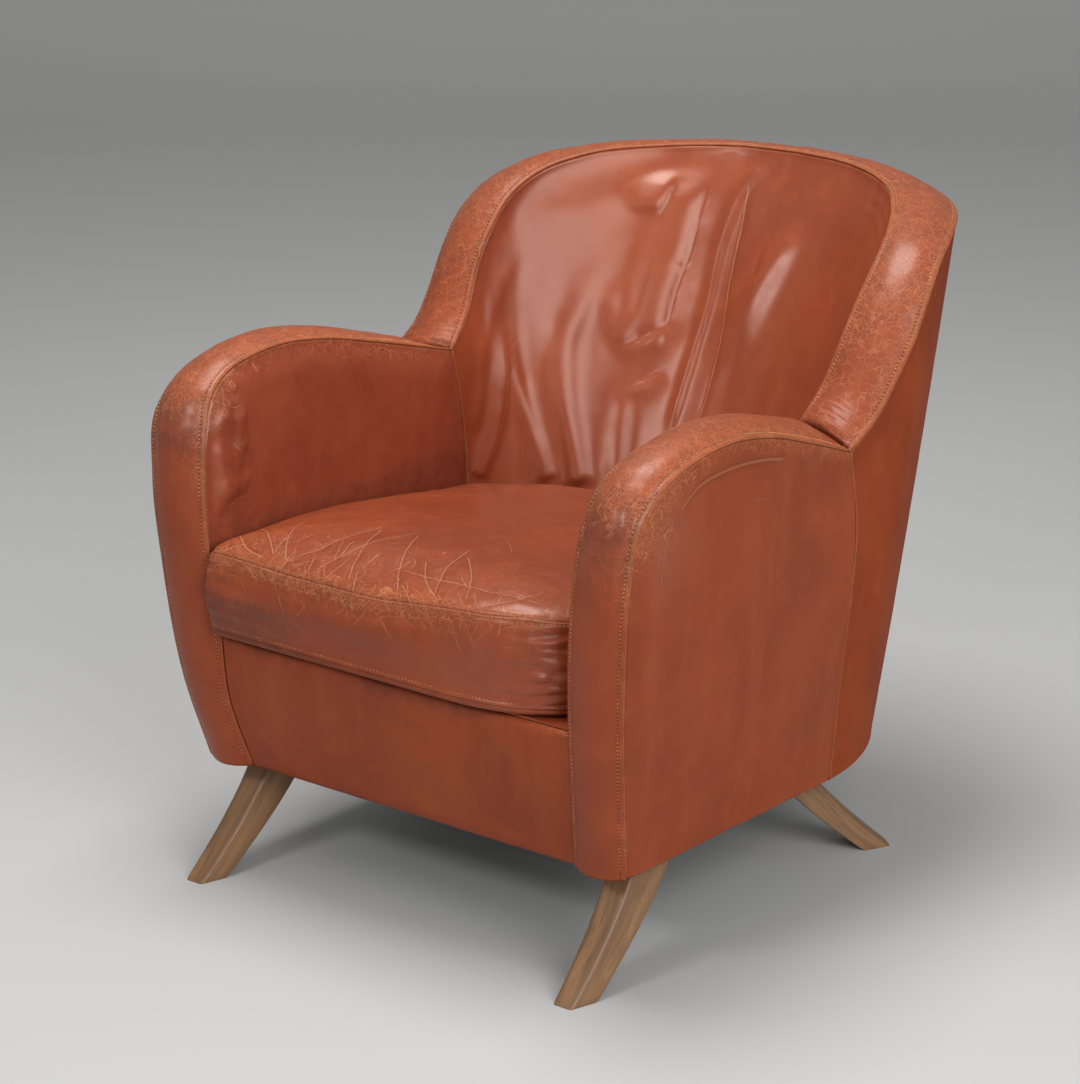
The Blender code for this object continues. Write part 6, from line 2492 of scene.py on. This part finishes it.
# ------------------------------------------------------------------------------ what stays
@dataclass
class HiddenParts:
    """Better finishes for the frame, foam and fittings that stay as they are."""

    def build(self, leather: bpy.types.Material, wood: bpy.types.Material) -> None:
        """Dress every remaining node by its slot.

        Args:
            leather: Finish of the platform's leather.
            wood: Finish of the legs.
        """
        finishes = {
            "leather": leather,
            "oak_stained": wood,
            "beech": PlainFinish("beech_frame", (0.600, 0.440, 0.275), (0.440, 0.300, 0.175), 60.0, 0.60,
                                 stretch=(1.0, 1.0, 0.15)).make(),
            "plywood": PlainFinish("birch_ply", (0.580, 0.430, 0.270), (0.360, 0.240, 0.140), 110.0, 0.65,
                                   stretch=(0.3, 0.3, 1.0)).make(),
            "foam": PlainFinish("aged_foam", (0.700, 0.610, 0.400), (0.560, 0.450, 0.260), 420.0, 0.95, height=0.6).make(),
            "fibreboard": PlainFinish("fibre_board", (0.270, 0.185, 0.115), (0.190, 0.125, 0.075), 240.0, 0.85).make(),
            "webbing": WovenFinish("elastic_webbing", (0.150, 0.125, 0.100), (0.060, 0.050, 0.042), 60.0).make(),
            "lining_cloth": WovenFinish("bottom_cloth", (0.045, 0.044, 0.046), (0.018, 0.018, 0.020), 130.0).make(),
            "zinc_steel": PlainFinish("zinc_plating", (0.620, 0.630, 0.640), (0.440, 0.450, 0.455), 180.0, 0.35, 1.0).make(),
        }
        for name, thing in frame["nodes"].items():
            if thing.type != "MESH":
                continue
            for number, old in enumerate(thing.data.materials):
                label = slot_of(old)
                thing.material_slots[number].link = "OBJECT"
                thing.material_slots[number].material = finishes.get(label, leather)
        log.info("dressed %d nodes", len(frame["nodes"]))


def slot_of(material: bpy.types.Material | None) -> str:
    """The record's slot that a packed material belongs to.

    Args:
        material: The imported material.

    Returns:
        The slot's name.
    """
    return material.name.split(".")[0] if material else "leather"


# ------------------------------------------------------------------------------ studio
@dataclass
class Studio:
    """A plain pale floor with a curved backdrop, soft lamps and the camera."""

    floor_half: float = 9.0
    wall_y: float = 6.5
    pale: Colour = (0.50, 0.50, 0.495)

    def backdrop(self) -> None:
        """Make the floor and its curved rise as one sheet."""
        turn = np.linspace(0.0, math.pi / 2, 14)
        profile = [(-self.floor_half, 0.0), (-2.0, 0.0), (0.0, 0.0), (2.0, 0.0)]
        profile += [(self.wall_y - 2.0 + 2.0 * math.sin(a), 2.0 - 2.0 * math.cos(a)) for a in turn]
        profile += [(self.wall_y, 7.0)]
        way = Vector((-math.sin(0.6816), math.cos(0.6816)))
        points = []
        for along, height in profile:
            for across in (-self.floor_half * 1.6, self.floor_half * 1.6):
                points.append((way.x * along + way.y * across, way.y * along - way.x * across, height))
        faces = [(2 * k, 2 * k + 1, 2 * k + 3, 2 * k + 2) for k in range(len(profile) - 1)]
        mesh = bpy.data.meshes.new("floor")
        mesh.from_pydata(points, [], faces)
        mesh.polygons.foreach_set("use_smooth", [True] * len(faces))
        thing = bpy.data.objects.new("floor", mesh)
        bpy.context.scene.collection.objects.link(thing)
        bench = Bench("pale_floor")
        cloud = bench.noise(bench.place(), 1.2, 3.0, 0.5)
        darker = tuple(part * 0.97 for part in self.pale)
        bench.set(Base_Color=bench.blend(cloud, darker, self.pale), Roughness=0.75, Specular_IOR_Level=0.25)
        mesh.materials.append(bench.material)

    def lamp(self, name: str, place: Point, target: Point, size: tuple[float, float], power: float,
             colour: Colour = (1.0, 1.0, 1.0)) -> None:
        """Hang a soft lamp.

        Args:
            name: The lamp's name.
            place: Where it hangs.
            target: What it points at.
            size: Width and height of its face.
            power: Its power in watts.
            colour: Its colour.
        """
        light = bpy.data.lights.new(name, "AREA")
        light.shape, light.size, light.size_y = "RECTANGLE", *size
        light.energy, light.color = power, colour
        thing = bpy.data.objects.new(name, light)
        thing.location = place
        thing.rotation_euler = (Vector(target) - Vector(place)).to_track_quat("-Z", "Y").to_euler()
        bpy.context.scene.collection.objects.link(thing)

    def world(self, level: float) -> None:
        """Surround the scene with even light.

        Args:
            level: Strength of the light.
        """
        world = bpy.data.worlds.new("studio_air")
        world.use_nodes = True
        background = world.node_tree.nodes["Background"]
        background.inputs["Color"].default_value = (1.0, 1.0, 1.0, 1.0)
        background.inputs["Strength"].default_value = level
        bpy.context.scene.world = world

    def camera(self) -> None:
        """Place the camera."""
        data = bpy.data.cameras.new("camera")
        data.sensor_width, data.lens = 36.0, 122.88
        data.clip_start, data.clip_end = 0.05, 60.0
        thing = bpy.data.objects.new("camera", data)
        azimuth, elevation = 0.681617767, 0.307083785
        thing.location = (2.6402, -3.3913, 1.7388)
        way = Vector((-math.sin(azimuth) * math.cos(elevation), math.cos(azimuth) * math.cos(elevation),
                      -math.sin(elevation)))
        thing.rotation_euler = way.to_track_quat("-Z", "Y").to_euler()
        bpy.context.scene.collection.objects.link(thing)
        bpy.context.scene.camera = thing

    def build(self) -> None:
        """Set everything up."""
        self.backdrop()
        self.world(0.35)
        self.lamp("side", (3.2, -1.5, 2.1), (0.0, 0.0, 0.45), (2.8, 2.2), 102.0)
        self.lamp("top", (-0.3, -0.1, 3.4), (0.0, 0.0, 0.4), (1.8, 1.3), 76.0)
        self.lamp("front", (-0.2, -3.2, 2.3), (0.0, 0.0, 0.5), (1.0, 0.5), 30.0)
        self.camera()
        scene = bpy.context.scene
        scene.view_settings.view_transform = "Standard"


def corners(bounds: tuple[Vector, Vector]) -> list[list[float]]:
    """A box as plain lists.

    Args:
        bounds: Its lowest and highest corners.

    Returns:
        The same numbers.
    """
    return [[float(value) for value in corner] for corner in bounds]


def main() -> None:
    """Build every piece in order."""
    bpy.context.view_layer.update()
    plan = SeamPlan()
    panels = PanelPlan(plan)
    shop, lumps, thread = Workshop(), Lumps(11), Thread()
    smooth = LeatherFinish("leather_panel", streaks=0.36, crease_sets=("crease_a",), crease_width=0.0017, crease_show=0.5,
                           roughness=0.52, reflect=0.16).make()
    band = LeatherFinish("leather_band", crack_show=0.46, stitched=True).make()
    back = LeatherFinish("leather_inside_back", roughness=0.37, shine=0.08, reflect=0.50, streaks=0.3,
                         crease_sets=("crease_a",), crease_width=0.0006).make()
    rear = LeatherFinish("leather_outside_back", streaks=0.30, roughness=0.62, reflect=0.04, shine=0.0).make()
    seat = LeatherFinish("leather_cushion", seam_dark=0.40,
                         crease_sets=("crease_a", "crease_b", "crease_c"), fringed=True).make()
    inner = LeatherFinish("leather_inner_arm", low=(0.215, 0.043, 0.021), mid=(0.275, 0.056, 0.026), high=(0.340, 0.083, 0.034),
                          roughness=0.40, shine=0.08, streaks=0.3, crease_sets=("crease_a",)).make()
    edge = LeatherFinish("leather_edge", low=(0.255, 0.068, 0.027), mid=(0.315, 0.092, 0.038), high=(0.385, 0.128, 0.056),
                         roughness=0.60, shine=0.0, reflect=0.15).make()
    wood = WoodFinish().make()
    BackPanels(panels).inside(shop, lumps, back)
    BackPanels(panels).outside(shop, lumps, rear)
    ArmPanels(panels).outside(shop, lumps, smooth)
    ArmPanels(panels).inside(shop, lumps, inner)
    ArmRims(plan).build(shop, thread, lumps, band)
    BackRim(plan).build(shop, thread, lumps, band)
    SeamFill(plan).build(shop, edge)
    Apron(plan).build(shop, lumps, smooth)
    Cushion(plan).build(shop, thread, lumps, seat)
    thread.finish(shop, "stitching", ThreadFinish().make())
    Legs().build(shop, wood)
    HiddenParts().build(band, wood)
    Studio().build()


if __name__ == "__main__":
    logging.basicConfig(level=logging.INFO, format="%(message)s")
    main()
